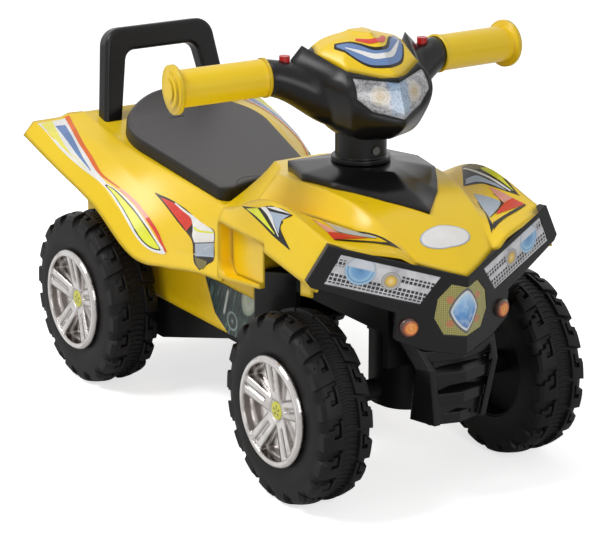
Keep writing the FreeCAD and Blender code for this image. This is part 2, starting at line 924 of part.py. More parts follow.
def steering():
    add("steering_turret", steering_turret())
    hub_low = frame_floor_z + wall + running_gap
    add("turret_arm", arm_with_pin(front_axle_y, arm_hub_radius, spindle_radius + shaft_gap, hub_low))
    add("column_arm", arm_with_pin(column_y, arm_hub_radius, shaft_radius + shaft_gap, hub_low))
    add("drag_link", drag_link())
    shaft_low = vec(0, column_y, frame_floor_z - shaft_bottom_depth)
    add("steering_shaft", rod(shaft_radius, shaft_low, vec(0, column_y, shaft_top_z)))
    add("steering_column", steering_column())
    add("column_screw", screw(column_screw_seat(), axis_y))


# Seat lid: black hollow moulding on the sloping rim, hinged behind
seat_thickness = 15.0
seat_front_half_width = 55.0
seat_notch_depth = 15.0
seat_rear_radius = 78.0
seat_lip_run = 40.0
seat_lip_rise = 14.0
seat_front_corner = 12.0
seat_edge_round = 4.0
hinge_barrel_radius = 4.0
hinge_setback = 5.0
hinge_pin_radius = 1.5
hinge_knuckle_half_width = 13.0
hinge_lug_width = 12.0

seat_front_y = tank_foot_y + seat_front_setback
rim_angle = math.degrees(math.atan(rim_slope))
hinge_height = hinge_barrel_radius + running_gap


def on_rim(shape):
    shape.rotate(origin, axis_x, rim_angle)
    shape.translate(vec(0, seat_front_y, rim_z_at(seat_front_y)))
    return shape


def seat_face(inset):
    centre_s = seat_length - seat_rear_radius
    radius = seat_rear_radius - inset
    corner = vec(seat_front_half_width - inset, inset, 0)
    to_corner = corner - vec(0, centre_s, 0)
    spread = math.acos(radius / to_corner.Length)
    angle = math.atan2(to_corner.y, to_corner.x) + spread
    touch = vec(radius * math.cos(angle), centre_s + radius * math.sin(angle), 0)
    far_touch = vec(-touch.x, touch.y, 0)
    far_corner = vec(-corner.x, corner.y, 0)
    edges = [
        Part.Arc(far_corner, vec(0, seat_notch_depth + inset, 0), corner).toShape(),
        Part.LineSegment(corner, touch).toShape(),
        Part.Arc(touch, vec(0, centre_s + radius, 0), far_touch).toShape(),
        Part.LineSegment(far_touch, far_corner).toShape(),
    ]
    return Part.Face(Part.Wire(edges))


def hinge_axis(half_width):
    place = vec(0, seat_length + hinge_setback, hinge_height)
    return place - axis_x * half_width, place + axis_x * half_width


def seat_block(inset, drop):
    face = seat_face(inset)
    face.translate(vec(0, 0, -drop))
    block = face.extrude(vec(0, 0, seat_thickness + seat_lip_rise + drop))
    side_x = -seat_rear_radius - overrun
    top_z = seat_thickness - inset
    radius = (seat_lip_run**2 + seat_lip_rise**2) / (seat_lip_rise + seat_lip_rise)
    half_turn = math.asin(seat_lip_run / radius) / 2
    lip_start = seat_length - seat_lip_run
    start = vec(side_x, lip_start, top_z)
    middle = start + vec(0, radius * math.sin(half_turn), radius - radius * math.cos(half_turn))
    end = start + vec(0, seat_lip_run, seat_lip_rise)
    ceiling_z = end.z + overrun
    path = [start, vec(side_x, -overrun, top_z), vec(side_x, -overrun, ceiling_z)]
    path += [vec(side_x, seat_length + overrun, ceiling_z), vec(side_x, seat_length + overrun, end.z), end]
    edges = [Part.Arc(end, middle, start).toShape()]
    for i in range(len(path) - 1):
        edges.append(Part.LineSegment(path[i], path[i + 1]).toShape())
    above = Part.Face(Part.Wire(edges)).extrude(vec(-side_x - side_x, 0, 0))
    return block.cut(above)


def seat_lid():
    block = seat_block(0, 0)
    hollow = seat_block(wall, running_gap)
    block = rounded(block, seat_front_corner, lambda e: upright(e) and e.BoundBox.YMax < seat_front_corner)
    inner_corner = seat_front_corner - wall
    hollow = rounded(hollow, inner_corner, lambda e: upright(e) and e.BoundBox.YMax < seat_front_corner)
    top_z = seat_thickness - shaft_gap
    block = rounded(block, seat_edge_round, lambda e: e.BoundBox.ZMin > top_z and not along_x(e))
    lid = block.cut(hollow)
    lid.translate(vec(0, 0, running_gap))
    start, end = hinge_axis(hinge_knuckle_half_width)
    knuckle = rod(hinge_barrel_radius, start, end)
    arm = box(
        vec(start.x, seat_length - wall, hinge_height - hinge_barrel_radius + running_gap),
        vec(end.x, start.y, hinge_height + hinge_barrel_radius),
    )
    lid = lid.fuse([knuckle, arm])
    lid = lid.cut(rod(hinge_pin_radius + shaft_gap, start - axis_x * overrun, end + axis_x * overrun))
    return on_rim(lid)


def hinge_lugs():
    start, end = hinge_axis(hinge_knuckle_half_width + running_gap)
    outer = end + axis_x * hinge_lug_width
    barrel = rod(hinge_barrel_radius, end, outer)
    foot = box(
        vec(end.x, end.y - hinge_barrel_radius, -wall / 2),
        vec(outer.x, end.y + hinge_barrel_radius, hinge_height),
    )
    lug = barrel.fuse(foot)
    lug = lug.cut(rod(hinge_pin_radius + shaft_gap, end - axis_x * overrun, outer + axis_x * overrun))
    return on_rim(lug.fuse(mirrored(lug)))


def seat_hinge_pin():
    start, end = hinge_axis(hinge_knuckle_half_width + running_gap + hinge_lug_width)
    return on_rim(rod(hinge_pin_radius, start, end))


# Rear handle: black hoop behind the seat
handle_overlap = 16.5
handle_base_half_width = 77.0
handle_top_half_width = 63.0
handle_bar_width = 21.0
handle_bar_height = 25.0
handle_height = 97.0
handle_lean = 19.0
handle_depth = 19.0
handle_outer_corner = 20.0
handle_inner_corner = 12.0
handle_edge_round = 4.0

handle_y = seat_front_y + seat_length - handle_overlap


def handle_outline(inset, drop, low):
    base = vec(handle_base_half_width - inset, 0, 0)
    top = vec(handle_top_half_width - inset, handle_height - drop, 0)
    foot = base + (base - top) * low
    return [foot, top, vec(-top.x, top.y, 0), vec(-foot.x, foot.y, 0)]


def rear_handle():
    low_share = overrun / handle_height
    deeper_share = low_share + low_share
    hoop = prism(handle_outline(0, 0, low_share), vec(0, 0, -handle_depth))
    hoop = rounded(hoop, handle_outer_corner, lambda e: upright(e) and e.CenterOfMass.y > handle_bar_height)
    gap = prism(handle_outline(handle_bar_width, handle_bar_height, deeper_share), vec(0, 0, -handle_depth))
    gap = rounded(gap, handle_inner_corner, lambda e: upright(e) and e.CenterOfMass.y > handle_bar_height)
    hoop = hoop.cut(gap)
    hoop = rounded(hoop, handle_edge_round, lambda e: not upright(e) and e.CenterOfMass.y > -overrun / 2)
    lean = math.degrees(math.atan2(handle_lean, handle_height))
    quarter = full_turn / 4
    hoop.rotate(origin, axis_x, quarter - lean)
    hoop.translate(vec(0, handle_y, rim_z_at(handle_y)))
    low = [
        (tank_foot_y, rim_z_at(tank_foot_y)),
        (tail_y, rim_z_at(tail_y)),
        (tail_y, rim_front_z - rim_rise),
        (tank_foot_y, rim_front_z - rim_rise),
    ]
    hoop = hoop.cut(side_prism(low, fender_half_width))
    pilots = []
    for seat in handle_screw_seats():
        pilots.append(rod(screw_radius + shaft_gap, seat, seat + rim_up * screw_length))
    return hoop.cut(pilots)


rim_up = FreeCAD.Vector(0, -math.sin(math.radians(rim_angle)), math.cos(math.radians(rim_angle)))


def handle_screw_seats():
    y = handle_y + handle_depth / 2
    x = handle_base_half_width - handle_bar_width / 2
    under = vec(x, y, rim_z_at(y)) - rim_up * wall
    return [under, vec(-under.x, under.y, under.z)]


def handle_screw_holes():
    reach = rim_up * overrun
    return [rod(screw_radius + shaft_gap, seat - reach, seat + reach) for seat in handle_screw_seats()]


def handle_screws():
    return group([screw(seat, rim_up) for seat in handle_screw_seats()])


# Column shroud: low black cover on the hood round the column
shroud_half_width = 66.0
shroud_back_half_width = 50.0
shroud_back_reach = 50.0
shroud_tip_reach = 113.0
shroud_root_z = 250.0
shroud_edge_z = 284.0
shroud_drop = 19.0
shroud_top_z = 289.0
shroud_top_share = 0.48

# Shares along the edge of the shroud, from its widest point to its tip
shroud_width_shares = (1.0, 0.87, 0.64, 0.455, 0.0)
shroud_reach_shares = (0.0, 0.36, 0.58, 0.735, 1.0)
shroud_drop_shares = (0.0, 0.05, 0.32, 0.53, 1.0)


def shroud_ring(share, base_z, drop):
    half = [vec(shroud_back_half_width * share, column_y + shroud_back_reach * share, base_z)]
    for i, width_share in enumerate(shroud_width_shares):
        x = shroud_half_width * width_share * share
        y = column_y - shroud_tip_reach * shroud_reach_shares[i] * share
        half.append(vec(x, y, base_z - drop * shroud_drop_shares[i]))
    points = half + [vec(-point.x, point.y, point.z) for point in reversed(half[:-1])]
    return Part.makePolygon(points + points[:1])


def column_shroud(under):
    rings = [
        shroud_ring(1, shroud_root_z, 0),
        shroud_ring(1, shroud_edge_z, shroud_drop),
        shroud_ring(shroud_top_share, shroud_top_z, 0),
    ]
    cover = Part.makeLoft(rings, True, True).cut(under)
    return cover.cut(column_hole())


def column_hole():
    low = vec(0, column_y, column_bottom_z - overrun)
    return rod(column_radius + running_gap, low, vec(0, column_y, shroud_top_z + overrun))


# Nose: black bezel on two swept faces, lamp panels, badge panel and indicators
bezel_thickness = 8.0
panel_thickness = 1.0
panel_recess = 1.4
lamp_outer_s = 149.0
lamp_top_s = 128.5
lamp_top_z = 257.0
lamp_side_z = 224.0
lamp_low_z = 219.0
cheek_s = 67.0
cheek_top_z = 190.0
cheek_low_z = 164.0
chin_s = 40.0
chin_z = 152.0
nose_top_z = 219.0
nose_low_z = 145.0
panel_outer_low_s = 132.7
panel_outer_low_z = 221.7
panel_outer_top_s = 117.4
panel_outer_top_z = 247.6
panel_inner_top_s = 25.5
panel_inner_top_z = 220.4
panel_inner_low_s = 44.4
panel_inner_low_z = 196.5
badge_top_z = 209.0
badge_crown_s = 15.0
badge_crown_z = 213.0
badge_shoulder_s = 28.0
badge_shoulder_z = 200.0
badge_side_s = 31.0
badge_side_z = 182.0
badge_foot_s = 22.0
badge_foot_z = 166.0
badge_low_z = 163.0
indicator_s = 55.0
indicator_z = 175.5
indicator_radius = 9.0
indicator_height = 5.0
indicator_round = 3.5

nose_cos = math.cos(math.radians(nose_sweep))
nose_sin = math.sin(math.radians(nose_sweep))
nose_out = vec(nose_sin, -nose_cos, 0)


def on_nose(s, z):
    return vec(s * nose_cos, nose_y + s * nose_sin, z)


def nose_plate(outline, start_depth, thickness):
    points = [on_nose(s, z) - nose_out * start_depth for s, z in outline]
    return prism(points, nose_out * -thickness)


def bezel_outline():
    return [
        (0, nose_top_z),
        (lamp_top_s, lamp_top_z),
        (lamp_outer_s, lamp_side_z),
        (lamp_outer_s - bezel_thickness / 2, lamp_low_z),
        (cheek_s, cheek_top_z),
        (cheek_s, cheek_low_z),
        (chin_s, chin_z),
        (0, nose_low_z),
    ]


def lamp_outline():
    return [
        (panel_outer_low_s, panel_outer_low_z),
        (panel_outer_top_s, panel_outer_top_z),
        (panel_inner_top_s, panel_inner_top_z),
        (panel_inner_low_s, panel_inner_low_z),
    ]


def badge_outline():
    return [
        (0, badge_top_z),
        (badge_crown_s, badge_crown_z),
        (badge_shoulder_s, badge_shoulder_z),
        (badge_side_s, badge_side_z),
        (badge_foot_s, badge_foot_z),
        (0, badge_low_z),
    ]


def nose_block():
    half = nose_plate(bezel_outline(), 0, bezel_thickness)
    return half.fuse(mirrored(half))


def nose_bezel(block):
    lamp = nose_plate(lamp_outline(), -overrun, overrun + panel_recess)
    badge = nose_plate(badge_outline(), -overrun, overrun + panel_recess)
    return block.cut([lamp, mirrored(lamp), badge, mirrored(badge)]).removeSplitter()


def nose_trim():
    depth = panel_recess - panel_thickness
    add_pair("headlight_panel", nose_plate(lamp_outline(), depth, panel_thickness))
    badge = nose_plate(badge_outline(), depth, panel_thickness)
    add("badge_panel", badge.fuse(mirrored(badge)).removeSplitter())
    seat = on_nose(indicator_s, indicator_z)
    lens = rod(indicator_radius, seat, seat + nose_out * indicator_height)
    tip = seat + nose_out * indicator_height
    lens = rounded(lens, indicator_round, lambda e: e.BoundBox.Center.sub(tip).Length < shaft_gap)
    add_pair("indicator", lens)


# Bumper: two flared side rails, four louvred slats and the plate and struts behind them
bumper_top_z = 163.0
bumper_knee_z = 135.0
bumper_low_z = 79.0
rail_top_x = 46.0
rail_knee_x = 37.6
rail_low_x = 28.6
rail_width = 6.0
rail_flare = 8.0
rail_top_reach = 72.0
rail_knee_reach = 92.0
rail_low_reach = 87.5
rail_top_depth = 14.0
rail_low_depth = 28.0
slat_count = 4
slat_reach = 94.5
slat_nose = 8.0
slat_height = 15.0
slat_slope_height = 5.0
slat_slope_depth = 7.0
slat_first_z = 77.0
slat_pitch = 21.0
slat_tuck = 8.0
slat_tuck_shares = (1.0, 0.3, 0.0, 0.5)
plate_reach = 82.0
strut_x = 20.0
strut_width = 8.0
strut_z = 134.0
strut_height = 14.0


def rail_ring(x, reach, depth, z):
    front = front_axle_y - reach
    back = front + depth
    points = [
        vec(x - rail_width, front, z),
        vec(x, front, z),
        vec(x + rail_flare, back, z),
        vec(x + rail_flare - rail_width, back, z),
    ]
    return Part.makePolygon(points + points[:1])


def slat(i):
    front = front_axle_y - slat_reach + slat_tuck * slat_tuck_shares[i]
    back = front_axle_y - plate_reach + wall
    low_z = slat_first_z + slat_pitch * i
    top_z = low_z + slat_height
    profile = [
        vec(0, front, low_z),
        vec(0, front, top_z - slat_slope_height),
        vec(0, front + slat_slope_depth, top_z),
        vec(0, back, top_z),
        vec(0, back, low_z),
    ]
    run_x = between(rail_low_x, rail_knee_x, (low_z - bumper_low_z) / (bumper_knee_z - bumper_low_z))
    half = prism(profile, vec(run_x, slat_nose, 0))
    return half.fuse(mirrored(half))


def bumper(block):
    rings = [
        rail_ring(rail_top_x, rail_top_reach, rail_top_depth, bumper_top_z),
        rail_ring(rail_knee_x, rail_knee_reach, rail_top_depth, bumper_knee_z),
        rail_ring(rail_low_x, rail_low_reach, rail_low_depth, bumper_low_z),
    ]
    rail = Part.makeLoft(rings, True, True)
    plate_y = front_axle_y - plate_reach
    low = vec(-rail_low_x, plate_y, bumper_low_z)
    plate = box(low, vec(rail_low_x, plate_y + wall + slat_nose, bumper_top_z - rail_width))
    strut = box(
        vec(strut_x, plate_y, strut_z),
        vec(strut_x + strut_width, frame_front_y, strut_z + strut_height),
    )
    pieces = [mirrored(rail), plate, strut, mirrored(strut)] + [slat(i) for i in range(slat_count)]
    return rail.fuse(pieces).cut(block).removeSplitter()


# Engine covers: printed side panels in the engine windows, each with a slanted wing to the front frame
engine_wing_foot = 4.0

engine_wing_z = scoop_bottom_z - running_gap


def engine_cover():
    side = box(
        vec(body_wall_x - wall, seam_y, body_bottom_z),
        vec(body_wall_x, seam_y + engine_head_setback, engine_head_z),
    )
    wing = [
        (body_wall_x, seam_y),
        (body_wall_x - engine_wing_foot, seam_y),
        (tray_neck_half_width, tray_front_y + engine_wing_foot),
        (tray_neck_half_width, tray_front_y),
    ]
    panel = side.common(engine_window(running_gap))
    return panel.fuse(plan_prism(wing, body_bottom_z, engine_wing_z)).removeSplitter()


# Handlebar: black moulded pod with two arms and two raised ears, yellow top cover, lamp lens and grips
pod_low_z = 319.4
pod_height = 94.2
pod_front_reach = 73.0
pod_corner_reach = 52.0
pod_rear_reach = 33.0
pod_corner_half_width = 45.0
pod_half_width = 62.0
pod_rear_half_width = 52.0
pod_wall = 4.0
pod_hollow_share = 0.92
lens_face_share = 0.985
lens_back_share = 0.955
lens_back_reach = 32.0
lens_notch_z = 375.2
lens_top_x = 38.7
lens_top_z = 380.6
lens_side_x = 40.4
lens_side_z = 363.2
lens_low_x = 26.5
lens_low_z = 350.6
lens_foot_z = 342.8
cover_tip_reach = 53.0
cover_tip_z = 379.3
cover_front_reach = 35.0
cover_front_z = 385.8
cover_rear_setback = 17.0
cover_rear_z = 398.0
ear_inner_x = 46.0
ear_tip_x = 58.0
ear_tip_z = 403.3
ear_foot_x = 70.4
ear_foot_z = 391.0
ear_depth = 14.0
ear_setback = 13.0
ear_front_inner_x = 33.0
ear_front_x = 38.0
ear_front_z = 383.0
ear_front_foot_x = 44.0
ear_front_foot_z = 376.0
ear_front_reach = 40.0
arm_root_x = 30.0
arm_root_reach = 3.0
arm_root_z = 350.0
arm_root_radius = 24.0
arm_end_x = 96.0
arm_end_setback = 16.0
arm_end_z = 377.0
arm_end_radius = 17.0
grip_end_x = 188.7
grip_end_setback = 26.6
grip_end_z = 374.8
grip_radius = 17.5
grip_core_radius = 12.0
grip_flange_radius = 23.0
grip_flange_thickness = 4.0
grip_cap_radius = 17.0
grip_cap_thickness = 2.5
grip_boss_radius = 11.0
grip_boss_thickness = 1.5
grip_ring_radius = 18.6
grip_ring_width = 3.0
grip_core_gap = 8.0
button_x = 77.4
button_setback = 12.0
button_radius = 5.0
button_top_z = 396.0
button_low_z = 384.0
button_travel = 2.0
button_well_z = 377.0
spring_radius = 3.6
spring_wall = 1.0

# Shares at each level of the pod, from its chin to its crown
pod_level_shares = (0.0, 0.11, 0.25, 0.46, 0.60, 0.70, 0.83, 0.94, 1.0)
pod_front_shares = (0.66, 0.89, 1.0, 0.925, 0.836, 0.685, 0.52, 0.356, 0.247)
pod_corner_width_shares = (0.49, 0.82, 0.91, 1.0, 0.98, 0.89, 0.755, 0.444, 0.155)
pod_corner_reach_shares = (0.75, 0.83, 0.94, 1.0, 0.885, 0.69, 0.44, 0.21, 0.06)
pod_width_shares = (0.48, 0.68, 0.84, 0.97, 1.0, 0.92, 0.76, 0.42, 0.145)
pod_rear_width_shares = (0.46, 0.65, 0.85, 0.98, 1.0, 0.96, 0.81, 0.44, 0.15)
pod_rear_shares = (0.67, 0.82, 0.94, 1.0, 0.97, 0.85, 0.70, 0.55, 0.33)

# Shares along each arm, from the pod to the grip
arm_station_shares = (0.0, 0.38, 0.74, 1.0)
arm_rise_shares = (0.0, 0.44, 0.85, 1.0)
arm_taper_shares = (0.0, 0.43, 0.86, 1.0)

pod_top_z = pod_low_z + pod_height
neck_top_z = shaft_top_z + pod_wall


def pod_loft(share, inset):
    wires = []
    for i, level in enumerate(pod_level_shares):
        z = between(pod_low_z + inset, pod_top_z - inset, level)
        corner_x = pod_corner_half_width * pod_corner_width_shares[i]
        corner_y = pod_corner_reach * pod_corner_reach_shares[i]
        half = [
            (0, -pod_front_reach * pod_front_shares[i]),
            (corner_x, -corner_y),
            (pod_half_width * pod_width_shares[i], 0),
            (pod_rear_half_width * pod_rear_width_shares[i], pod_rear_reach * pod_rear_shares[i]),
        ]
        outline = half + [(-x, y) for x, y in reversed(half[1:])]
        points = [vec(x * share, column_y + y * share, z) for x, y in outline]
        wires.append(Part.makePolygon(points + points[:1]))
    return Part.makeLoft(wires, True)


def grip_axis():
    inner = vec(arm_end_x, column_y + arm_end_setback, arm_end_z)
    outer = vec(grip_end_x, column_y + grip_end_setback, grip_end_z)
    return inner, outer


def arm():
    places = []
    for i, share in enumerate(arm_station_shares):
        x = between(arm_root_x, arm_end_x, share)
        y = column_y + between(-arm_root_reach, arm_end_setback, share)
        places.append(vec(x, y, between(arm_root_z, arm_end_z, arm_rise_shares[i])))
    places.append(grip_axis()[1])
    wires = []
    for i, share in enumerate(arm_taper_shares):
        radius = between(arm_root_radius, arm_end_radius, share)
        wires.append(Part.Wire(Part.makeCircle(radius, places[i], places[i + 1] - places[i])))
    return Part.makeLoft(wires, True)


def ear_ring(y, inner_x, tip_x, tip_z, foot_x, foot_z):
    root_z = foot_z - ear_depth
    points = [vec(inner_x, y, root_z), vec(tip_x, y, tip_z), vec(foot_x, y, foot_z), vec(foot_x, y, root_z)]
    return Part.makePolygon(points + points[:1])


def ear():
    rear = ear_ring(column_y + ear_setback, ear_inner_x, ear_tip_x, ear_tip_z, ear_foot_x, ear_foot_z)
    front = ear_ring(
        column_y - ear_front_reach,
        ear_front_inner_x,
        ear_front_x,
        ear_front_z,
        ear_front_foot_x,
        ear_front_foot_z,
    )
    return Part.makeLoft([rear, front], True, True)


def button_place(z):
    return vec(button_x, column_y + button_setback, z)


def cover_cutter():
    front = column_y - pod_front_reach - overrun
    rear = column_y + pod_rear_reach + overrun
    high = pod_top_z + overrun
    outline = [
        (front, cover_tip_z),
        (column_y - cover_tip_reach, cover_tip_z),
        (column_y - cover_front_reach, cover_front_z),
        (column_y + cover_rear_setback, cover_rear_z),
        (rear, cover_rear_z),
        (rear, high),
        (front, high),
    ]
    return side_prism(outline, pod_half_width)


def lens_block():
    half = [
        (0, lens_notch_z),
        (lens_top_x, lens_top_z),
        (lens_side_x, lens_side_z),
        (lens_low_x, lens_low_z),
        (0, lens_foot_z),
    ]
    outline = half + [(-x, z) for x, z in reversed(half[1:-1])]
    front = column_y - pod_front_reach - overrun
    points = [vec(x, front, z) for x, z in outline]
    return prism(points, vec(0, column_y - lens_back_reach - front, 0))


# Sound unit in the pod: two cells in a box, circuit board, speaker and the door behind the cells
battery_radius = 7.0
battery_length = 50.0
box_wall = 1.5
box_front_reach = 8.0
board_thickness = 1.6
board_inset = 4.0
speaker_radius = 13.0
speaker_depth = 6.0
door_half_width = 32.0
door_margin = 2.0

box_half_width = battery_length / 2 + running_gap + box_wall
box_front_y = column_y - box_front_reach
box_cell_y = box_front_y + box_wall + running_gap + battery_radius
box_rear_y = box_cell_y + running_gap + battery_radius + battery_radius + battery_radius
box_top_z = neck_top_z + box_wall + battery_radius + battery_radius + running_gap + box_wall


def door_block():
    low = vec(-door_half_width, box_rear_y - door_margin, neck_top_z - door_margin)
    return box(low, vec(door_half_width, column_y + pod_rear_reach + overrun, box_top_z + door_margin))


def sound_unit():
    low = vec(-box_half_width, box_front_y, neck_top_z)
    high = vec(box_half_width, box_rear_y, box_top_z)
    inset = vec(box_wall, box_wall, box_wall)
    inner_high = vec(high.x - box_wall, high.y + overrun, high.z - box_wall)
    add("battery_box", box(low, high).cut(box(low + inset, inner_high)))
    cell_z = neck_top_z + box_wall + battery_radius
    cells = []
    for y in (box_cell_y, box_cell_y + running_gap + battery_radius + battery_radius):
        end = vec(battery_length / 2, y, cell_z)
        cells.append(rod(battery_radius, vec(-end.x, y, cell_z), end))
    add("batteries", group(cells))
    board_low = vec(low.x + board_inset, low.y + board_inset, box_top_z)
    board_high = vec(high.x - board_inset, high.y - board_inset, box_top_z + board_thickness)
    add("sound_board", box(board_low, board_high))
    face = vec(0, box_front_y, neck_top_z + running_gap + speaker_radius)
    add("speaker", rod(speaker_radius, face, face - axis_y * speaker_depth))


def handlebar():
    pod = pod_loft(1, 0)
    hollow = pod_loft(pod_hollow_share, pod_wall)
    cap = pod.common(cover_cutter())
    inner, outer = grip_axis()
    along = (outer - inner).normalize()
    core = rod(grip_core_radius - shaft_gap, inner - along * overrun, outer - along * grip_core_gap)
    well = rod(button_radius + shaft_gap, button_place(button_well_z), button_place(button_top_z))
    side = arm().fuse([core, ear()]).cut(well)
    body = pod.fuse([side, mirrored(side)]).cut([hollow, cap, lens_block(), door_block()])
    neck = rod(column_radius, vec(0, column_y, column_top_z), vec(0, column_y, neck_top_z))
    low = vec(0, column_y, column_bottom_z)
    body = body.fuse(neck).cut(rod(column_radius + shaft_gap, low, vec(0, column_y, column_top_z)))
    body = body.cut(rod(shaft_radius + shaft_gap, low, vec(0, column_y, shaft_top_z)))
    add("handlebar_body", body)
    add("handlebar_cover", cap.cut(hollow))
    lens = pod_loft(lens_face_share, 0).common(lens_block())
    add("headlamp_lens", lens.cut(pod_loft(lens_back_share, 0)))
    add("battery_door", pod.common(door_block()).cut(hollow))
    sound_unit()
    add_pair("grip", grip(inner, outer, along))
    button = rod(button_radius, button_place(button_low_z), button_place(button_top_z))
    add_pair("button", button)
    spring_top = button_low_z - button_travel - running_gap
    inside = spring_radius - spring_wall
    spring = tube(spring_radius, inside, button_place(button_well_z), button_place(spring_top))
    add("button_springs", group([spring, mirrored(spring)]))


def grip(inner, outer, along):
    length = (outer - inner).Length
    core_end = length - grip_core_gap
    outline = [
        (0, grip_core_radius),
        (0, grip_ring_radius),
        (grip_ring_width, grip_ring_radius),
        (grip_ring_width, grip_radius),
        (length - grip_flange_thickness, grip_radius),
        (length - grip_flange_thickness, grip_flange_radius),
        (length, grip_flange_radius),
        (length, grip_cap_radius),
        (length + grip_cap_thickness, grip_cap_radius),
        (length + grip_cap_thickness, grip_boss_radius),
        (length + grip_cap_thickness + grip_boss_thickness, grip_boss_radius),
        (length + grip_cap_thickness + grip_boss_thickness, 0),
        (core_end, 0),
        (core_end, grip_core_radius),
    ]
    return revolve(outline, inner, along, axis_z.cross(along).cross(along).normalize())


def build():
    wheels()
    block = nose_block()
    outer_wires, inner_wires = front_sections()
    hood = Part.makeLoft(outer_wires, True)
    front = front_body(hood, Part.makeLoft(inner_wires, True))
    add("front_body", front.cut([block, column_hole()]))
    add("rear_body", rear_body().fuse(hinge_lugs()).cut(handle_screw_holes()))
    add("storage_tub", storage_tub())
    add("chassis_tray", chassis_tray())
    add("tray_screws", tray_screws())
    add("front_frame", front_frame())
    steering()
    add("seat_lid", seat_lid())
    add("seat_hinge_pin", seat_hinge_pin())
    add("rear_handle", rear_handle())
    add("handle_screws", handle_screws())
    add("column_shroud", column_shroud(hood))
    add("nose_bezel", nose_bezel(block))
    nose_trim()
    add("bumper", bumper(block))
    add_pair("engine_cover", engine_cover())
    handlebar()


def export():
    os.makedirs("parts", exist_ok=True)
    for name, shape in nodes.items():
        solids = len(shape.Solids)
        print(name, "volume", round(shape.Volume), "valid", shape.isValid(), "solids", solids)
        shape.exportStep("parts/" + name + ".step")


build()
export()
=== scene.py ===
import math
import bpy
import bmesh
from mathutils import Matrix, Vector


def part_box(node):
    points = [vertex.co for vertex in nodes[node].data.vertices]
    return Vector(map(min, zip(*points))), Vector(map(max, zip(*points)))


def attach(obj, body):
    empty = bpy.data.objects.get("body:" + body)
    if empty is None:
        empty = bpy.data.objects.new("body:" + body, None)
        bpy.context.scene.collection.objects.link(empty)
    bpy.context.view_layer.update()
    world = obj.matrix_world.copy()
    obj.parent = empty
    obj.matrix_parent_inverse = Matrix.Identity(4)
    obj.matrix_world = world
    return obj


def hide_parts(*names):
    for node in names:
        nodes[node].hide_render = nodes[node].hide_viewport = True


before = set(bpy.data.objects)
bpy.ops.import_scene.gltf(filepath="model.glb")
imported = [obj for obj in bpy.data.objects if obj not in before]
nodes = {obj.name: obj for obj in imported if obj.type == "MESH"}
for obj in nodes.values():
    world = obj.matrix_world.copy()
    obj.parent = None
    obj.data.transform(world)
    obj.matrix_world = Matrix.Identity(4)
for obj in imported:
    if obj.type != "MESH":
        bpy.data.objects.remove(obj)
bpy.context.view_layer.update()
print("frame loaded,", len(nodes), "nodes")


# small helpers for shader trees

def node(tree, kind, **settings):
    made = tree.nodes.new(kind)
    for key, value in settings.items():
        setattr(made, key, value)
    return made


# links a socket, sets a number or colour, and leaves the default where there is neither
def feed(tree, socket, value):
    if isinstance(value, bpy.types.NodeSocket):
        tree.links.new(value, socket)
    elif value is not None:
        socket.default_value = value


def calc(tree, operation, a, b=None, clamp=False):
    made = node(tree, "ShaderNodeMath", operation=operation, use_clamp=clamp)
    for socket, value in zip(made.inputs, (a, b)):
        feed(tree, socket, value)
    return made.outputs[0]


# inputs 0, 6 and 7 are the factor and the two colours, output 2 is the colour
def mixColour(tree, factor, a, b, blend="MIX"):
    made = node(tree, "ShaderNodeMix", data_type="RGBA", blend_type=blend)
    feed(tree, made.inputs[0], factor)
    feed(tree, made.inputs[6], a)
    feed(tree, made.inputs[7], b)
    return made.outputs[2]


def remap(tree, value, low, high, newLow=0.0, newHigh=1.0):
    made = node(tree, "ShaderNodeMapRange")
    for socket, number in zip(made.inputs, (value, low, high, newLow, newHigh)):
        feed(tree, socket, number)
    return made.outputs[0]


def ramp(tree, value, stops):
    made = node(tree, "ShaderNodeValToRGB")
    feed(tree, made.inputs[0], value)
    band = made.color_ramp
    while len(band.elements) < len(stops):
        band.elements.new(0.5)
    for element, (place, colour) in zip(band.elements, stops):
        element.position = place
        element.color = colour
    return made.outputs[0]


def parts(tree, vector):
    made = node(tree, "ShaderNodeSeparateXYZ")
    tree.links.new(vector, made.inputs[0])
    return made.outputs


def position(tree):
    spot = node(tree, "ShaderNodeTexCoord").outputs["Object"]
    return (spot, *parts(tree, spot))


def noise(tree, vector, scale, detail=2.0, rough=0.5):
    made = node(tree, "ShaderNodeTexNoise")
    for label, value in (("Vector", vector), ("Scale", scale), ("Detail", detail), ("Roughness", rough)):
        feed(tree, made.inputs[label], value)
    return made.outputs[0]


def bump(tree, height, strength, distance, normal=None):
    made = node(tree, "ShaderNodeBump")
    for label, value in (("Strength", strength), ("Distance", distance), ("Height", height), ("Normal", normal)):
        feed(tree, made.inputs[label], value)
    return made.outputs[0]


def newGroup(name, inputs, outputs):
    tree = bpy.data.node_groups.new(name, "ShaderNodeTree")
    for label, kind, value in inputs:
        socket = tree.interface.new_socket(label, in_out="INPUT", socket_type=kind)
        socket.default_value = value
    for label, kind in outputs:
        tree.interface.new_socket(label, in_out="OUTPUT", socket_type=kind)
    return tree, tree.nodes.new("NodeGroupInput"), tree.nodes.new("NodeGroupOutput")


def useGroup(tree, group, **values):
    made = node(tree, "ShaderNodeGroup", node_tree=group)
    for label, value in values.items():
        feed(tree, made.inputs[label], value)
    return made.outputs


# the stretch of a noise's range that a remap spreads out
wideNoise = (0.3, 0.7)
narrowNoise = (0.35, 0.65)

surfaceOutputs = [("Colour", "NodeSocketColor"), ("Rough", "NodeSocketFloat"), ("Height", "NodeSocketFloat")]


# moulded plastic skin: fine grain, soft clouds in tone and gloss
skinDetail = {"grain": 3.0, "cloud": 4.0}


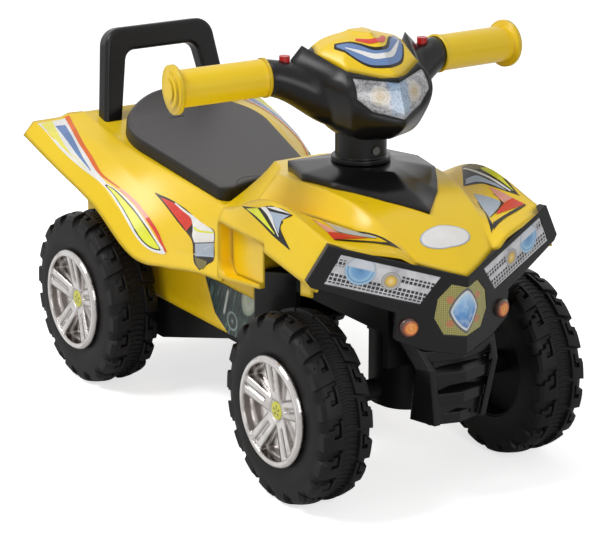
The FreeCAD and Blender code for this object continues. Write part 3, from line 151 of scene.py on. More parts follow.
def mouldedSkinGroup():
    tree, into, out = newGroup(
        "mouldedSkin",
        [
            ("Colour", "NodeSocketColor", (1, 1, 1, 1)),
            ("Shade", "NodeSocketColor", (0.5, 0.5, 0.5, 1)),
            ("Grain", "NodeSocketFloat", 900.0),
            ("Cloud", "NodeSocketFloat", 14.0),
            ("Rough", "NodeSocketFloat", 0.3),
            ("Spread", "NodeSocketFloat", 0.1),
        ],
        surfaceOutputs,
    )
    vector = position(tree)[0]
    grain = noise(tree, vector, into.outputs["Grain"], skinDetail["grain"])
    cloud = noise(tree, vector, into.outputs["Cloud"], skinDetail["cloud"])
    tone = remap(tree, cloud, *wideNoise)
    swing = calc(tree, "MULTIPLY", calc(tree, "SUBTRACT", cloud, 0.5), into.outputs["Spread"])
    feed(tree, out.inputs["Colour"], mixColour(tree, tone, into.outputs["Shade"], into.outputs["Colour"]))
    feed(tree, out.inputs["Rough"], calc(tree, "ADD", into.outputs["Rough"], swing, clamp=True))
    feed(tree, out.inputs["Height"], grain)
    return tree


# printed film: faint dots and fading under a clear face
filmFade = {"scale": 30.0, "detail": 3.0, "dots": 0.16, "level": (0.86, 1.0), "rough": (0.18, 0.32)}


def printedFilmGroup():
    tree, into, out = newGroup(
        "printedFilm",
        [("Colour", "NodeSocketColor", (1, 1, 1, 1)), ("Dots", "NodeSocketFloat", 1500.0)],
        surfaceOutputs,
    )
    vector = position(tree)[0]
    dots = node(tree, "ShaderNodeTexVoronoi")
    feed(tree, dots.inputs["Vector"], vector)
    feed(tree, dots.inputs["Scale"], into.outputs["Dots"])
    fade = noise(tree, vector, filmFade["scale"], filmFade["detail"])
    faded = remap(tree, fade, *wideNoise, *filmFade["level"])
    level = calc(tree, "ADD", calc(tree, "MULTIPLY", dots.outputs[0], filmFade["dots"]), faded)
    feed(tree, out.inputs["Colour"], mixColour(tree, 1.0, into.outputs["Colour"], level, "MULTIPLY"))
    feed(tree, out.inputs["Rough"], remap(tree, fade, *wideNoise, *filmFade["rough"]))
    feed(tree, out.inputs["Height"], fade)
    return tree


# soft-edged disc in two flat coordinates
discEdge = (0.95, 1.03)  # shares of the radius


def discGroup():
    labels = ("Across", "Up", "Middle Across", "Middle Up", "Radius")
    tree, into, out = newGroup(
        "discMask",
        [(label, "NodeSocketFloat", 0.01 if label == "Radius" else 0.0) for label in labels],
        [("Mask", "NodeSocketFloat"), ("Distance", "NodeSocketFloat")],
    )
    dx = calc(tree, "SUBTRACT", into.outputs["Across"], into.outputs["Middle Across"])
    dz = calc(tree, "SUBTRACT", into.outputs["Up"], into.outputs["Middle Up"])
    far = calc(tree, "SQRT", calc(tree, "ADD", calc(tree, "MULTIPLY", dx, dx), calc(tree, "MULTIPLY", dz, dz)))
    share = calc(tree, "DIVIDE", far, into.outputs["Radius"])
    feed(tree, out.inputs["Mask"], remap(tree, share, *discEdge, 1.0, 0.0))
    feed(tree, out.inputs["Distance"], share)
    return tree


# rounded edges on moulded and plated pieces
edgeSamples = 8


def softEdgeGroup():
    tree, into, out = newGroup(
        "softEdge", [("Radius", "NodeSocketFloat", 0.001)], [("Normal", "NodeSocketVector")])
    edge = node(tree, "ShaderNodeBevel", samples=edgeSamples)
    feed(tree, edge.inputs["Radius"], into.outputs["Radius"])
    feed(tree, out.inputs["Normal"], edge.outputs[0])
    return tree


mouldedSkin = mouldedSkinGroup()
softEdge = softEdgeGroup()
printedFilm = printedFilmGroup()
discMask = discGroup()


def newMaterial(name):
    material = bpy.data.materials.new(name)
    material.use_nodes = True
    return material, material.node_tree, material.node_tree.nodes["Principled BSDF"]


def setSurface(tree, shader, colour, rough, normal):
    for label, source in (("Base Color", colour), ("Roughness", rough), ("Normal", normal)):
        tree.links.new(source, shader.inputs[label])


skinDepth = 0.0004  # metres of relief at full bump


def plastic(name, look):
    material, tree, shader = newMaterial(name)
    skin = useGroup(
        tree, mouldedSkin, Colour=look["colour"], Shade=look["shade"], Grain=look["grain"],
        Cloud=look["cloud"], Rough=look["rough"], Spread=look["spread"],
    )
    colour = skin["Colour"]
    # painted light and shade: the colour turns to the darker flank colour where the surface stops facing up
    if "shadedFlank" in look:
        rise = parts(tree, node(tree, "ShaderNodeTexCoord").outputs["Normal"])[2]
        colour = mixColour(tree, remap(tree, rise, *look["shadedFlankRise"], 1.0, 0.0), colour, look["shadedFlank"])
    edge = useGroup(tree, softEdge, Radius=look["edge"])["Normal"] if "edge" in look else None
    setSurface(tree, shader, colour, skin["Rough"], bump(tree, skin["Height"], look["bump"], skinDepth, edge))
    shader.inputs["Specular IOR Level"].default_value = look.get("specular", 0.5)
    shader.inputs["Metallic"].default_value = look.get("metal", 0.0)
    return material


yellowLook = {"colour": (0.94, 0.65, 0.008, 1), "shade": (0.91, 0.60, 0.005, 1), "grain": 700, "cloud": 9,
              "rough": 0.30, "spread": 0.12, "bump": 0.05, "edge": 0.007}
blackLook = {"colour": (0.0075, 0.007, 0.0072, 1), "shade": (0.005, 0.0048, 0.005, 1), "grain": 1500,
             "cloud": 18, "rough": 0.27, "spread": 0.14, "bump": 0.08, "specular": 0.28, "edge": 0.0022}
podLook = {**blackLook, "rough": 0.22, "edge": 0.011}
tyreLook = {"colour": (0.0075, 0.0068, 0.0072, 1), "shade": (0.0045, 0.0042, 0.0045, 1), "grain": 1200,
            "cloud": 26, "rough": 0.48, "spread": 0.18, "bump": 0.16, "specular": 0.20, "edge": 0.0012}
frameLook = {"colour": (0.009, 0.0085, 0.009, 1), "shade": (0.005, 0.005, 0.005, 1), "grain": 1100, "cloud": 20,
             "rough": 0.46, "spread": 0.14, "bump": 0.12, "specular": 0.14}
steelLook = {"colour": (0.62, 0.62, 0.64, 1), "shade": (0.50, 0.50, 0.52, 1), "grain": 2200, "cloud": 60,
             "rough": 0.30, "spread": 0.2, "bump": 0.05, "metal": 1.0}
# the column screw is painted dark as painted shade in the hole it sits in
screwLook = {"colour": (0.16, 0.155, 0.15, 1), "shade": (0.09, 0.085, 0.08, 1), "grain": 1800, "cloud": 200,
             "rough": 0.34, "spread": 0.2, "bump": 0.1, "metal": 1.0}
redLook = {"colour": (0.62, 0.018, 0.014, 1), "shade": (0.50, 0.012, 0.010, 1), "grain": 1200, "cloud": 40,
           "rough": 0.26, "spread": 0.1, "bump": 0.05}
boardLook = {"colour": (0.02, 0.16, 0.06, 1), "shade": (0.015, 0.11, 0.05, 1), "grain": 900, "cloud": 120,
             "rough": 0.35, "spread": 0.2, "bump": 0.1}
# the seat's top is painted dark grey as painted light, with a faint leather grain, and its flanks are painted
# black as painted shade, by which way the surface faces
seatLook = {"colour": (0.084, 0.079, 0.079, 1), "shade": (0.072, 0.068, 0.068, 1), "grain": 1900, "cloud": 12,
            "rough": 0.48, "spread": 0.12, "bump": 0.14, "specular": 0.35, "edge": 0.005,
            "shadedFlank": (0.010, 0.010, 0.010, 1), "shadedFlankRise": (0.45, 0.85)}

yellowPlastic = plastic("yellowPlastic", yellowLook)
blackPlastic = plastic("blackPlastic", blackLook)
podBlack = plastic("podBlack", podLook)
tyreBlack = plastic("tyreBlack", tyreLook)
framePlastic = plastic("framePlastic", frameLook)
plainSteel = plastic("plainSteel", steelLook)
screwSteel = plastic("screwSteel", screwLook)
redPlastic = plastic("redPlastic", redLook)
boardGreen = plastic("boardGreen", boardLook)
seatPlastic = plastic("seatPlastic", seatLook)
print("plastics ready")


# film over inks and over the printed panels, which have finer dots and a clear coat
film = {"depth": 0.0003, "specular": 0.3, "coatRough": 0.15}


def setFilm(tree, shader, colour, dots=2600.0, relief=0.06, coat=0.6):
    outs = useGroup(tree, printedFilm, Colour=colour, Dots=dots)
    setSurface(tree, shader, outs["Colour"], outs["Rough"], bump(tree, outs["Height"], relief, film["depth"]))
    shader.inputs["Specular IOR Level"].default_value = film["specular"]
    shader.inputs["Coat Weight"].default_value = coat
    shader.inputs["Coat Roughness"].default_value = film["coatRough"]


def ink(name, colour):
    material, tree, shader = newMaterial(name)
    setFilm(tree, shader, colour, dots=1500.0, relief=0.05, coat=0.0)
    return material


inkColours = {
    "white": (0.86, 0.85, 0.83, 1), "red": (0.72, 0.055, 0.035, 1), "orange": (0.80, 0.16, 0.03, 1),
    "lime": (0.78, 0.80, 0.05, 1), "lemon": (0.90, 0.84, 0.16, 1), "blue": (0.16, 0.26, 0.50, 1),
    "mist": (0.42, 0.50, 0.62, 1), "dark": (0.016, 0.012, 0.010, 1), "pink": (0.82, 0.36, 0.30, 1),
    "olive": (0.20, 0.17, 0.05, 1),
}
inks = {name: ink("ink" + name.capitalize(), colour) for name, colour in inkColours.items()}
# dark ink for the seat marks; the rear mark is a painted reflection
inks["groove"] = ink("seatDarkMarkInk", (0.012, 0.012, 0.012, 1))
print("inks ready")


def newPiece(name, bm, materials, body, sharpFrom):
    mesh = bpy.data.meshes.new(name)
    bm.to_mesh(mesh)
    bm.free()
    for each in materials:
        mesh.materials.append(each)
    for polygon in mesh.polygons:
        polygon.use_smooth = True
    mesh.set_sharp_from_angle(angle=math.radians(sharpFrom))
    piece = bpy.data.objects.new(name, mesh)
    bpy.context.scene.collection.objects.link(piece)
    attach(piece, body)
    return piece


# tyres, in millimetres: one spun section, shoulder blocks lifted out of it, a low ribbed band in the middle
tyreShape = {
    "section": [(25.4, 52.0), (26.6, 58.0), (27.0, 66.0), (26.9, 72.0), (26.3, 76.5), (24.8, 80.2), (21.8, 83.2),
                (17.5, 84.8), (12.8, 85.5), (11.8, 85.6), (8.0, 85.8), (4.0, 85.8)],
    "radius": 90.0, "halfWidth": 27.2, "steps": 180, "twist": -4.5, "sharpFrom": 28,
    "pitch": 10, "gapSteps": (8.0, 12.8, 17.5, 21.8),  # steps per block, and where each gap gets a step wider
    "slotStep": 4, "slotEnds": (11.8, 12.8, 17.5),
    "blockFoot": 76.0, "blockHeight": 4.2, "wallLean": 0.8, "growFrom": 75.0, "growOver": 6.0,
    "bandHalf": 8.0, "ribHeight": 1.2, "ribLean": 0.5,
    "shoulderFrom": 20.5, "shoulderGrow": 1.6,
}


# a raised block, a raised rib or plain ground
def treadPart(across, out, place, column):
    look = tyreShape
    if across < look["bandHalf"]:
        return "rib" if column % 2 and out > look["blockFoot"] else "ground"
    gap = sum(across > start for start in look["gapSteps"])
    if out < look["blockFoot"] or place >= look["pitch"] - gap:
        return "ground"
    inner, outer, end = look["slotEnds"]
    if place == look["slotStep"] and inner < across < end:
        return "ground"
    if place > look["slotStep"] and inner < across < outer:
        return "ground"
    return "block"


def liftTread(vert, height):
    look = tyreShape
    out = math.hypot(vert.co.y, vert.co.z) * 1000
    weight = min(1.0, max(0.0, (out - look["growFrom"]) / look["growOver"]))
    grown = min(look["radius"], out + height * weight) / out
    vert.co.y *= grown
    vert.co.z *= grown
    across = abs(vert.co.x)
    if across > look["shoulderFrom"] / 1000:
        across = min(look["halfWidth"], across * 1000 + look["shoulderGrow"] * weight) / 1000
        vert.co.x = math.copysign(across, vert.co.x)


def tyreMesh():
    look = tyreShape
    half = look["section"]
    points = half + [(0.0, half[-1][1])] + [(-x, r) for x, r in reversed(half)]
    bm = bmesh.new()
    verts = [bm.verts.new((x / 1000, 0, r / 1000)) for x, r in points]
    edges = [bm.edges.new(pair) for pair in zip(verts, verts[1:] + verts[:1])]
    bmesh.ops.spin(bm, geom=verts + edges, axis=(1, 0, 0), cent=(0, 0, 0), angle=math.tau, steps=look["steps"],
                   use_merge=True)
    bmesh.ops.remove_doubles(bm, verts=bm.verts, dist=1e-6)
    bmesh.ops.recalc_face_normals(bm, faces=bm.faces)
    tread = {"block": [], "rib": [], "ground": []}
    for face in bm.faces:
        middle = face.calc_center_median()
        out = math.hypot(middle.y, middle.z) * 1000
        column = int(math.atan2(middle.y, middle.z) % math.tau / math.tau * look["steps"])
        place = (column + (look["pitch"] // 2 if middle.x > 0 else 0)) % look["pitch"]
        tread[treadPart(abs(middle.x) * 1000, out, place, column)].append(face)
    lift = {}
    for part, lean, height in (("block", "wallLean", "blockHeight"), ("rib", "ribLean", "ribHeight")):
        bmesh.ops.inset_region(bm, faces=tread[part], thickness=look[lean] / 1000, use_even_offset=True,
                               use_boundary=True)
        lift.update({vert: look[height] for face in tread[part] for vert in face.verts})
    for vert, height in lift.items():
        liftTread(vert, height)
    for vert in bm.verts:
        turn = math.radians(look["twist"]) * (1 - abs(vert.co.x) * 1000 / look["halfWidth"])
        vert.co = Matrix.Rotation(turn, 3, "X") @ vert.co
    return bm


wheels = [end + "_" + side for end in ("front", "rear") for side in ("left", "right")]


def middleOf(name):
    low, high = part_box(name)
    return (Vector(low) + Vector(high)) / 2


plainTyre = tyreMesh()
for wheel in wheels:
    bm = plainTyre.copy()
    bmesh.ops.translate(bm, verts=bm.verts, vec=middleOf("tyre_" + wheel))
    tyre = newPiece("tyre_tread_" + wheel, bm, [tyreBlack], "wheel_" + wheel, tyreShape["sharpFrom"])
    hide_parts("tyre_" + wheel)
plainTyre.free()
print("tyres ready")


# helpers for prints

# two flat coordinates from a line on the panel: along it and up from it, mirrored about the middle of the toy
def panelAxes(tree, start, slope):
    _, x, _, z = position(tree)
    dx = calc(tree, "SUBTRACT", calc(tree, "ABSOLUTE", x), start[0])
    dz = calc(tree, "SUBTRACT", z, start[1])
    c, s = math.cos(slope), math.sin(slope)
    along = calc(tree, "ADD", calc(tree, "MULTIPLY", dx, c), calc(tree, "MULTIPLY", dz, s))
    up = calc(tree, "SUBTRACT", calc(tree, "MULTIPLY", dz, c), calc(tree, "MULTIPLY", dx, s))
    return along, up


def within(tree, value, low, high, soft=0.0004):
    rise = remap(tree, value, low - soft, low + soft)
    fall = remap(tree, value, high - soft, high + soft, 1.0, 0.0)
    return calc(tree, "MULTIPLY", rise, fall)


def flatVector(tree, across, up):
    made = node(tree, "ShaderNodeCombineXYZ")
    feed(tree, made.inputs[0], across)
    feed(tree, made.inputs[1], up)
    return made.outputs[0]


strandSoft = 0.06


# dark cells between the strands of a printed mesh
def meshHoles(tree, vector, scale, strand, chance):
    made = node(tree, "ShaderNodeTexVoronoi", feature="DISTANCE_TO_EDGE")
    for label, value in (("Vector", vector), ("Scale", scale), ("Randomness", chance)):
        feed(tree, made.inputs[label], value)
    return remap(tree, made.outputs[0], strand, strand + strandSoft)


def disc(tree, across, up, middle):
    return useGroup(tree, discMask, **{
        "Across": across, "Up": up, "Middle Across": middle[0], "Middle Up": middle[1], "Radius": middle[2]})


# a disc with its rings, laid over the colour so far
def discOver(tree, colour, across, up, middle, rings):
    made = disc(tree, across, up, middle)
    return mixColour(tree, made["Mask"], colour, ramp(tree, made["Distance"], rings))


# lamp panels: silver print, half lens, amber lamp and dark mesh bands
lampPanel = {
    "start": (0.024, 0.2204), "slope": 0.3047,
    "shine": 60.0, "silver": ((0.46, 0.46, 0.49, 1), (0.70, 0.70, 0.72, 1)),
    "mesh": 260.0, "strand": 0.10, "chance": 0.12, "hole": (0.018, 0.017, 0.018, 1),
    "bands": [((-0.0268, -0.0176), (-1.0, 1.0)), ((-0.0128, -0.0068), (0.001, 0.0325)),
              ((-0.0105, -0.0040), (0.0845, 0.0960))],  # limits up and along
    "lens": (0.0696, -0.0098, 0.0140), "waterline": (-0.0092, -0.0076),
    "lensRings": [(0.0, (0.10, 0.26, 0.52, 1)), (0.55, (0.20, 0.42, 0.70, 1)), (0.72, (0.38, 0.60, 0.80, 1)),
                  (0.80, (0.12, 0.30, 0.55, 1)), (0.92, (0.45, 0.66, 0.82, 1)), (1.0, (0.20, 0.30, 0.42, 1))],
    "upperRings": [(0.0, (0.70, 0.72, 0.76, 1)), (0.80, (0.62, 0.66, 0.72, 1)), (0.93, (0.40, 0.46, 0.54, 1)),
                   (1.0, (0.62, 0.64, 0.66, 1))],
    "amber": (0.0410, -0.0136, 0.0086),
    "amberRings": [(0.0, (0.86, 0.72, 0.34, 1)), (0.30, (0.80, 0.55, 0.12, 1)), (0.58, (0.62, 0.40, 0.06, 1)),
                   (0.66, (0.34, 0.32, 0.30, 1)), (0.85, (0.52, 0.50, 0.48, 1)), (1.0, (0.12, 0.12, 0.12, 1))],
}


def lampPanelPrint():
    look = lampPanel
    material, tree, shader = newMaterial("lampPanelPrint")
    along, up = panelAxes(tree, look["start"], look["slope"])
    plane = flatVector(tree, along, up)
    shine = remap(tree, noise(tree, plane, look["shine"]), *narrowNoise)
    colour = mixColour(tree, shine, *look["silver"])
    holes = meshHoles(tree, plane, look["mesh"], look["strand"], look["chance"])
    bands = 0.0
    for upward, across in look["bands"]:
        band = calc(tree, "MULTIPLY", within(tree, up, *upward), within(tree, along, *across))
        bands = calc(tree, "ADD", bands, band, clamp=True)
    colour = mixColour(tree, calc(tree, "MULTIPLY", bands, holes), colour, look["hole"])
    lens = disc(tree, along, up, look["lens"])
    rings = ramp(tree, lens["Distance"], look["lensRings"])
    upper = ramp(tree, lens["Distance"], look["upperRings"])
    lensInk = mixColour(tree, remap(tree, up, *look["waterline"]), rings, upper)
    colour = mixColour(tree, lens["Mask"], colour, lensInk)
    colour = discOver(tree, colour, along, up, look["amber"], look["amberRings"])
    setFilm(tree, shader, colour)
    return material


# badge panel: olive mesh with a plain blue lamp in a silver rim and four faint spots
badge = {
    "height": 0.187, "half": (0.0130, 0.0172), "roundness": 1.35,
    "mesh": 520.0, "strand": 0.12, "chance": 0.1, "olive": ((0.46, 0.42, 0.12, 1), (0.20, 0.18, 0.045, 1)),
    "spot": (0.0150, 0.0112, 0.0036), "spotInk": (0.55, 0.17, 0.08, 1), "spotShare": 0.8,
    "rims": [((1.30, 1.42), (0.10, 0.10, 0.11, 1)), ((1.12, 1.20), (0.66, 0.69, 0.72, 1))],
    "lamp": (0.92, 1.0), "glowUp": (0.170, 0.206),
    "glow": [(0.0, (0.05, 0.16, 0.44, 1)), (0.45, (0.13, 0.34, 0.66, 1)), (0.75, (0.34, 0.56, 0.80, 1)),
             (1.0, (0.58, 0.74, 0.88, 1))],
    "sparkle": 140.0, "sparkRange": (0.45, 0.75, 0.0, 0.5), "spark": (0.66, 0.78, 0.90, 1),
}


def badgePrint():
    look = badge
    material, tree, shader = newMaterial("badgePrint")
    _, x, _, z = position(tree)
    plane = flatVector(tree, x, z)
    holes = meshHoles(tree, plane, look["mesh"], look["strand"], look["chance"])
    colour = mixColour(tree, holes, *look["olive"])
    across = calc(tree, "ABSOLUTE", x)
    up = calc(tree, "ABSOLUTE", calc(tree, "SUBTRACT", z, look["height"]))
    reach = [calc(tree, "POWER", calc(tree, "DIVIDE", value, half), look["roundness"])
             for value, half in zip((across, up), look["half"])]
    far = calc(tree, "ADD", *reach)
    spots = calc(tree, "MULTIPLY", disc(tree, across, up, look["spot"])["Mask"], look["spotShare"])
    colour = mixColour(tree, spots, colour, look["spotInk"])
    for limits, rimInk in look["rims"]:
        colour = mixColour(tree, remap(tree, far, *limits, 1.0, 0.0), colour, rimInk)
    glow = ramp(tree, remap(tree, z, *look["glowUp"]), look["glow"])
    spark = remap(tree, noise(tree, plane, look["sparkle"]), *look["sparkRange"])
    glow = mixColour(tree, spark, glow, look["spark"])
    colour = mixColour(tree, remap(tree, far, *look["lamp"], 1.0, 0.0), colour, glow)
    setFilm(tree, shader, colour)
    return material


# headlamp lens: clear face over a sparkling reflector with two amber bulbs and a blue middle
headlamp = {
    "facets": 620.0, "sparkShare": 0.55, "cloud": 70.0, "cloudDetail": 3.0, "cloudShare": 0.45, "dots": 2200.0,
    "grey": ((0.05, 0.05, 0.055, 1), (0.60, 0.60, 0.62, 1)),
    "blueSide": (0.008, 0.0125), "blueUp": (0.344, 0.352), "blueShare": 0.85,
    "blue": ((0.09, 0.19, 0.36, 1), (0.36, 0.52, 0.70, 1)),
    "bulb": (0.0190, 0.3642, 0.0092), "bulbHaze": 0.25, "bulbShare": 0.9,
    "bulbRings": [(0.0, (0.30, 0.18, 0.05, 1)), (0.16, (0.74, 0.52, 0.18, 1)), (0.34, (0.50, 0.38, 0.18, 1)),
                  (0.55, (0.72, 0.62, 0.44, 1)), (0.80, (0.60, 0.54, 0.44, 1)), (1.0, (0.74, 0.72, 0.70, 1))],
    "rough": (0.14, 0.34), "relief": 0.35, "depth": 0.0006, "coatRough": 0.05,
}


def headlampPrint():
    look = headlamp
    material, tree, shader = newMaterial("headlampPrint")
    vector, x, _, z = position(tree)
    side = calc(tree, "ABSOLUTE", x)
    facet = node(tree, "ShaderNodeTexVoronoi")
    feed(tree, facet.inputs["Vector"], flatVector(tree, side, z))
    feed(tree, facet.inputs["Scale"], look["facets"])
    split = node(tree, "ShaderNodeSeparateColor")
    tree.links.new(facet.outputs["Color"], split.inputs[0])
    spark = split.outputs[0]
    cloud = noise(tree, vector, look["cloud"], look["cloudDetail"])
    cloud = remap(tree, cloud, *wideNoise, 0.0, look["cloudShare"])
    shine = calc(tree, "ADD", calc(tree, "MULTIPLY", spark, look["sparkShare"]), cloud)
    colour = mixColour(tree, shine, *look["grey"])
    blueMask = calc(tree, "MULTIPLY", remap(tree, side, *look["blueSide"], 1.0, 0.0),
                    remap(tree, z, *look["blueUp"], 0.0, look["blueShare"]))
    colour = mixColour(tree, blueMask, colour, mixColour(tree, shine, *look["blue"]))
    bulb = disc(tree, side, z, look["bulb"])
    bulbInk = mixColour(tree, look["bulbHaze"], ramp(tree, bulb["Distance"], look["bulbRings"]), colour)
    colour = mixColour(tree, calc(tree, "MULTIPLY", bulb["Mask"], look["bulbShare"]), colour, bulbInk)
    outs = useGroup(tree, printedFilm, Colour=colour, Dots=look["dots"])
    rough = remap(tree, spark, 0.0, 1.0, *look["rough"])
    relief = bump(tree, facet.outputs["Distance"], look["relief"], look["depth"])
    setSurface(tree, shader, outs["Colour"], rough, relief)
    shader.inputs["Coat Weight"].default_value = 1.0
    shader.inputs["Coat Roughness"].default_value = look["coatRough"]
    return material


# engine covers: dark green print with a plated rib, a pale casing and one round cap; plain black wing in front
engine = {
    "lean": 0.32, "leanFrom": 0.13, "stretch": (9.0, 1.2), "coat": 0.08,
    "streak": (34.0, 3.0, 0.6),  # scale, detail and roughness of the noise
    "streaks": [(0.30, (0.006, 0.009, 0.010, 1)), (0.48, (0.016, 0.034, 0.032, 1)),
                (0.60, (0.035, 0.085, 0.070, 1)), (0.70, (0.20, 0.27, 0.24, 1)), (0.80, (0.030, 0.050, 0.048, 1))],
    "rib": ((-0.0152, -0.0118, 0.0006), (0.119, 0.1445, 0.002)), "ribInk": (0.60, 0.64, 0.62, 1),
    "casing": (-0.0600, 0.1490, 0.0155), "casingLean": 0.35, "casingTall": 0.72,
    "casingRings": [(0.0, (0.36, 0.44, 0.33, 1)), (0.60, (0.52, 0.58, 0.48, 1)), (0.90, (0.30, 0.36, 0.29, 1)),
                    (1.0, (0.03, 0.05, 0.045, 1))],
    "cap": (-0.0257, 0.1150, 0.0110),
    "capRings": [(0.0, (0.30, 0.36, 0.36, 1)), (0.22, (0.05, 0.07, 0.07, 1)), (0.62, (0.012, 0.018, 0.018, 1)),
                 (0.80, (0.26, 0.34, 0.31, 1)), (0.94, (0.07, 0.11, 0.10, 1)), (1.0, (0.01, 0.015, 0.015, 1))],
    "wing": (-0.0682, -0.0666), "wingInk": (0.010, 0.010, 0.010, 1),
}


def enginePrint():
    look = engine
    material, tree, shader = newMaterial("enginePrint")
    _, _, y, z = position(tree)
    lean = calc(tree, "ADD", y, calc(tree, "MULTIPLY", calc(tree, "SUBTRACT", z, look["leanFrom"]), look["lean"]))
    plane = flatVector(tree, *(calc(tree, "MULTIPLY", *pair) for pair in zip((lean, z), look["stretch"])))
    colour = ramp(tree, noise(tree, plane, *look["streak"]), look["streaks"])
    rib = calc(tree, "MULTIPLY", within(tree, lean, *look["rib"][0]), within(tree, z, *look["rib"][1]))
    colour = mixColour(tree, rib, colour, look["ribInk"])
    middle = look["casing"][1]
    rise = calc(tree, "SUBTRACT", z, middle)
    across = calc(tree, "ADD", y, calc(tree, "MULTIPLY", rise, look["casingLean"]))
    up = calc(tree, "ADD", middle, calc(tree, "MULTIPLY", rise, look["casingTall"]))
    colour = discOver(tree, colour, across, up, look["casing"], look["casingRings"])
    colour = discOver(tree, colour, y, z, look["cap"], look["capRings"])
    colour = mixColour(tree, remap(tree, y, *look["wing"], 1.0, 0.0), colour, look["wingInk"])
    setFilm(tree, shader, colour, coat=look["coat"])
    return material


# indicators: orange moulding with rings and a dark rim
indicator = {
    "rings": [(0.0, (0.95, 0.50, 0.14, 1)), (0.22, (0.86, 0.25, 0.02, 1)), (0.46, (0.90, 0.36, 0.06, 1)),
              (0.60, (0.70, 0.15, 0.015, 1)), (0.74, (0.30, 0.07, 0.02, 1)), (0.90, (0.07, 0.03, 0.02, 1))],
    "waves": 26.0, "relief": 0.5, "grain": 1200.0, "cloud": 60.0, "rough": 0.24, "spread": 0.1,
    "coat": 0.5, "coatRough": 0.1,
}


def indicatorOrange():
    look = indicator
    material, tree, shader = newMaterial("indicatorOrange")
    low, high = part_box("indicator_left")
    _, x, _, z = position(tree)
    middle = ((low[0] + high[0]) / 2, (low[2] + high[2]) / 2, (high[2] - low[2]) / 2)
    ring = disc(tree, calc(tree, "ABSOLUTE", x), z, middle)
    colour = ramp(tree, ring["Distance"], look["rings"])
    outs = useGroup(tree, mouldedSkin, Colour=colour, Shade=colour, Grain=look["grain"], Cloud=look["cloud"],
                    Rough=look["rough"], Spread=look["spread"])
    wave = calc(tree, "SINE", calc(tree, "MULTIPLY", ring["Distance"], look["waves"]))
    setSurface(tree, shader, outs["Colour"], outs["Rough"], bump(tree, wave, look["relief"], skinDepth))
    shader.inputs["Coat Weight"].default_value = look["coat"]
    shader.inputs["Coat Roughness"].default_value = look["coatRough"]
    return material


# bright plating on the hubcaps: its tone follows how far the rounded surface turns away from the wheel's side, in
# bands of painted reflection, with painted shade on the steepest walls
plating = {
    "edge": 0.004, "grain": 500.0, "cloud": 60.0, "rough": 0.11, "spread": 0.10, "relief": 0.03,
    "drift": (-0.03, 0.05),  # how far the clouds shift a tone
    "paintedReflectionTones": [(0.0, (0.86, 0.84, 0.83, 1)), (0.05, (0.74, 0.71, 0.70, 1)), (0.12, (0.46, 0.44, 0.42, 1)),
              (0.26, (0.70, 0.67, 0.66, 1)), (0.52, (0.34, 0.31, 0.30, 1)), (0.78, (0.74, 0.71, 0.69, 1)),
              (0.94, (0.44, 0.41, 0.39, 1)), (1.0, (0.16, 0.14, 0.13, 1))],
}


def platingMaterial():
    look = plating
    material, tree, shader = newMaterial("brightPlating")
    edge = useGroup(tree, softEdge, Radius=look["edge"])["Normal"]
    turned = node(tree, "ShaderNodeVectorTransform", vector_type="NORMAL", convert_from="WORLD",
                  convert_to="OBJECT")
    tree.links.new(edge, turned.inputs[0])
    outward = calc(tree, "ABSOLUTE", parts(tree, turned.outputs[0])[0])
    cloud = noise(tree, position(tree)[0], look["cloud"])
    cloud = remap(tree, cloud, *narrowNoise, *look["drift"])
    reflectionBand = calc(tree, "ADD", calc(tree, "SUBTRACT", 1.0, outward), cloud)
    # painted reflection bands, and painted shade where the surface turns steeply into the grooves
    colour = ramp(tree, reflectionBand, look["paintedReflectionTones"])
    outs = useGroup(tree, mouldedSkin, Colour=colour, Shade=colour, Grain=look["grain"], Cloud=look["cloud"],
                    Rough=look["rough"], Spread=look["spread"])
    relief = bump(tree, outs["Height"], look["relief"], skinDepth, edge)
    setSurface(tree, shader, outs["Colour"], outs["Rough"], relief)
    shader.inputs["Metallic"].default_value = 1.0
    return material


lampPanelFinish = lampPanelPrint()
badgeFinish = badgePrint()
headlampFinish = headlampPrint()
engineFinish = enginePrint()
indicatorFinish = indicatorOrange()
platingFinish = platingMaterial()
print("printed and plated finishes ready")


# finishes for the CAD nodes, by the start of the node's name; the longest start that fits is taken
finishes = {
    "tyre": tyreBlack, "wheel_hub": framePlastic, "hubcap": platingFinish,
    "front_axle": plainSteel, "rear_axle": plainSteel,
    "rear_body": yellowPlastic, "front_body": yellowPlastic, "handlebar_cover": yellowPlastic,
    "grip": yellowPlastic, "storage_tub": framePlastic, "chassis_tray": framePlastic,
    "front_frame": framePlastic, "steering_turret": framePlastic, "turret_arm": framePlastic,
    "column_arm": framePlastic, "drag_link": plainSteel, "steering_column": blackPlastic,
    "steering_shaft": plainSteel, "column_screw": screwSteel, "tray_screws": plainSteel,
    "handle_screws": plainSteel, "seat_hinge_pin": plainSteel, "seat_lid": seatPlastic,
    "rear_handle": blackPlastic, "column_shroud": podBlack, "nose_bezel": blackPlastic,
    "bumper": blackPlastic, "handlebar_body": podBlack, "battery_box": blackPlastic,
    "battery_door": blackPlastic, "batteries": plainSteel, "speaker": framePlastic,
    "sound_board": boardGreen, "button_springs": plainSteel, "button_left": redPlastic,
    "button_right": redPlastic, "headlight_panel": lampPanelFinish, "badge_panel": badgeFinish,
    "indicator": indicatorFinish, "engine_cover": engineFinish, "headlamp_lens": headlampFinish,
}
for name in nodes:
    fits = [start for start in finishes if name.startswith(start)]
    slots = nodes[name].data.materials
    slots.clear()
    slots.append(finishes[max(fits, key=len)])
print("node finishes set")


# stickers: each stripe is a ladder of rungs, two points each, in millimetres, laid down on its carrier
# "down" reads a rung as x, y and drops it from above; its tables hold the right side's negative x
# "inward" reads a rung as y, z and presses it on from the side
sticker = {"cells": 12, "across": 8, "lift": 0.00016, "step": 0.00008, "sharpFrom": 60,
           "above": 0.5, "drop": 0.25, "beside": 0.3, "press": 0.18}


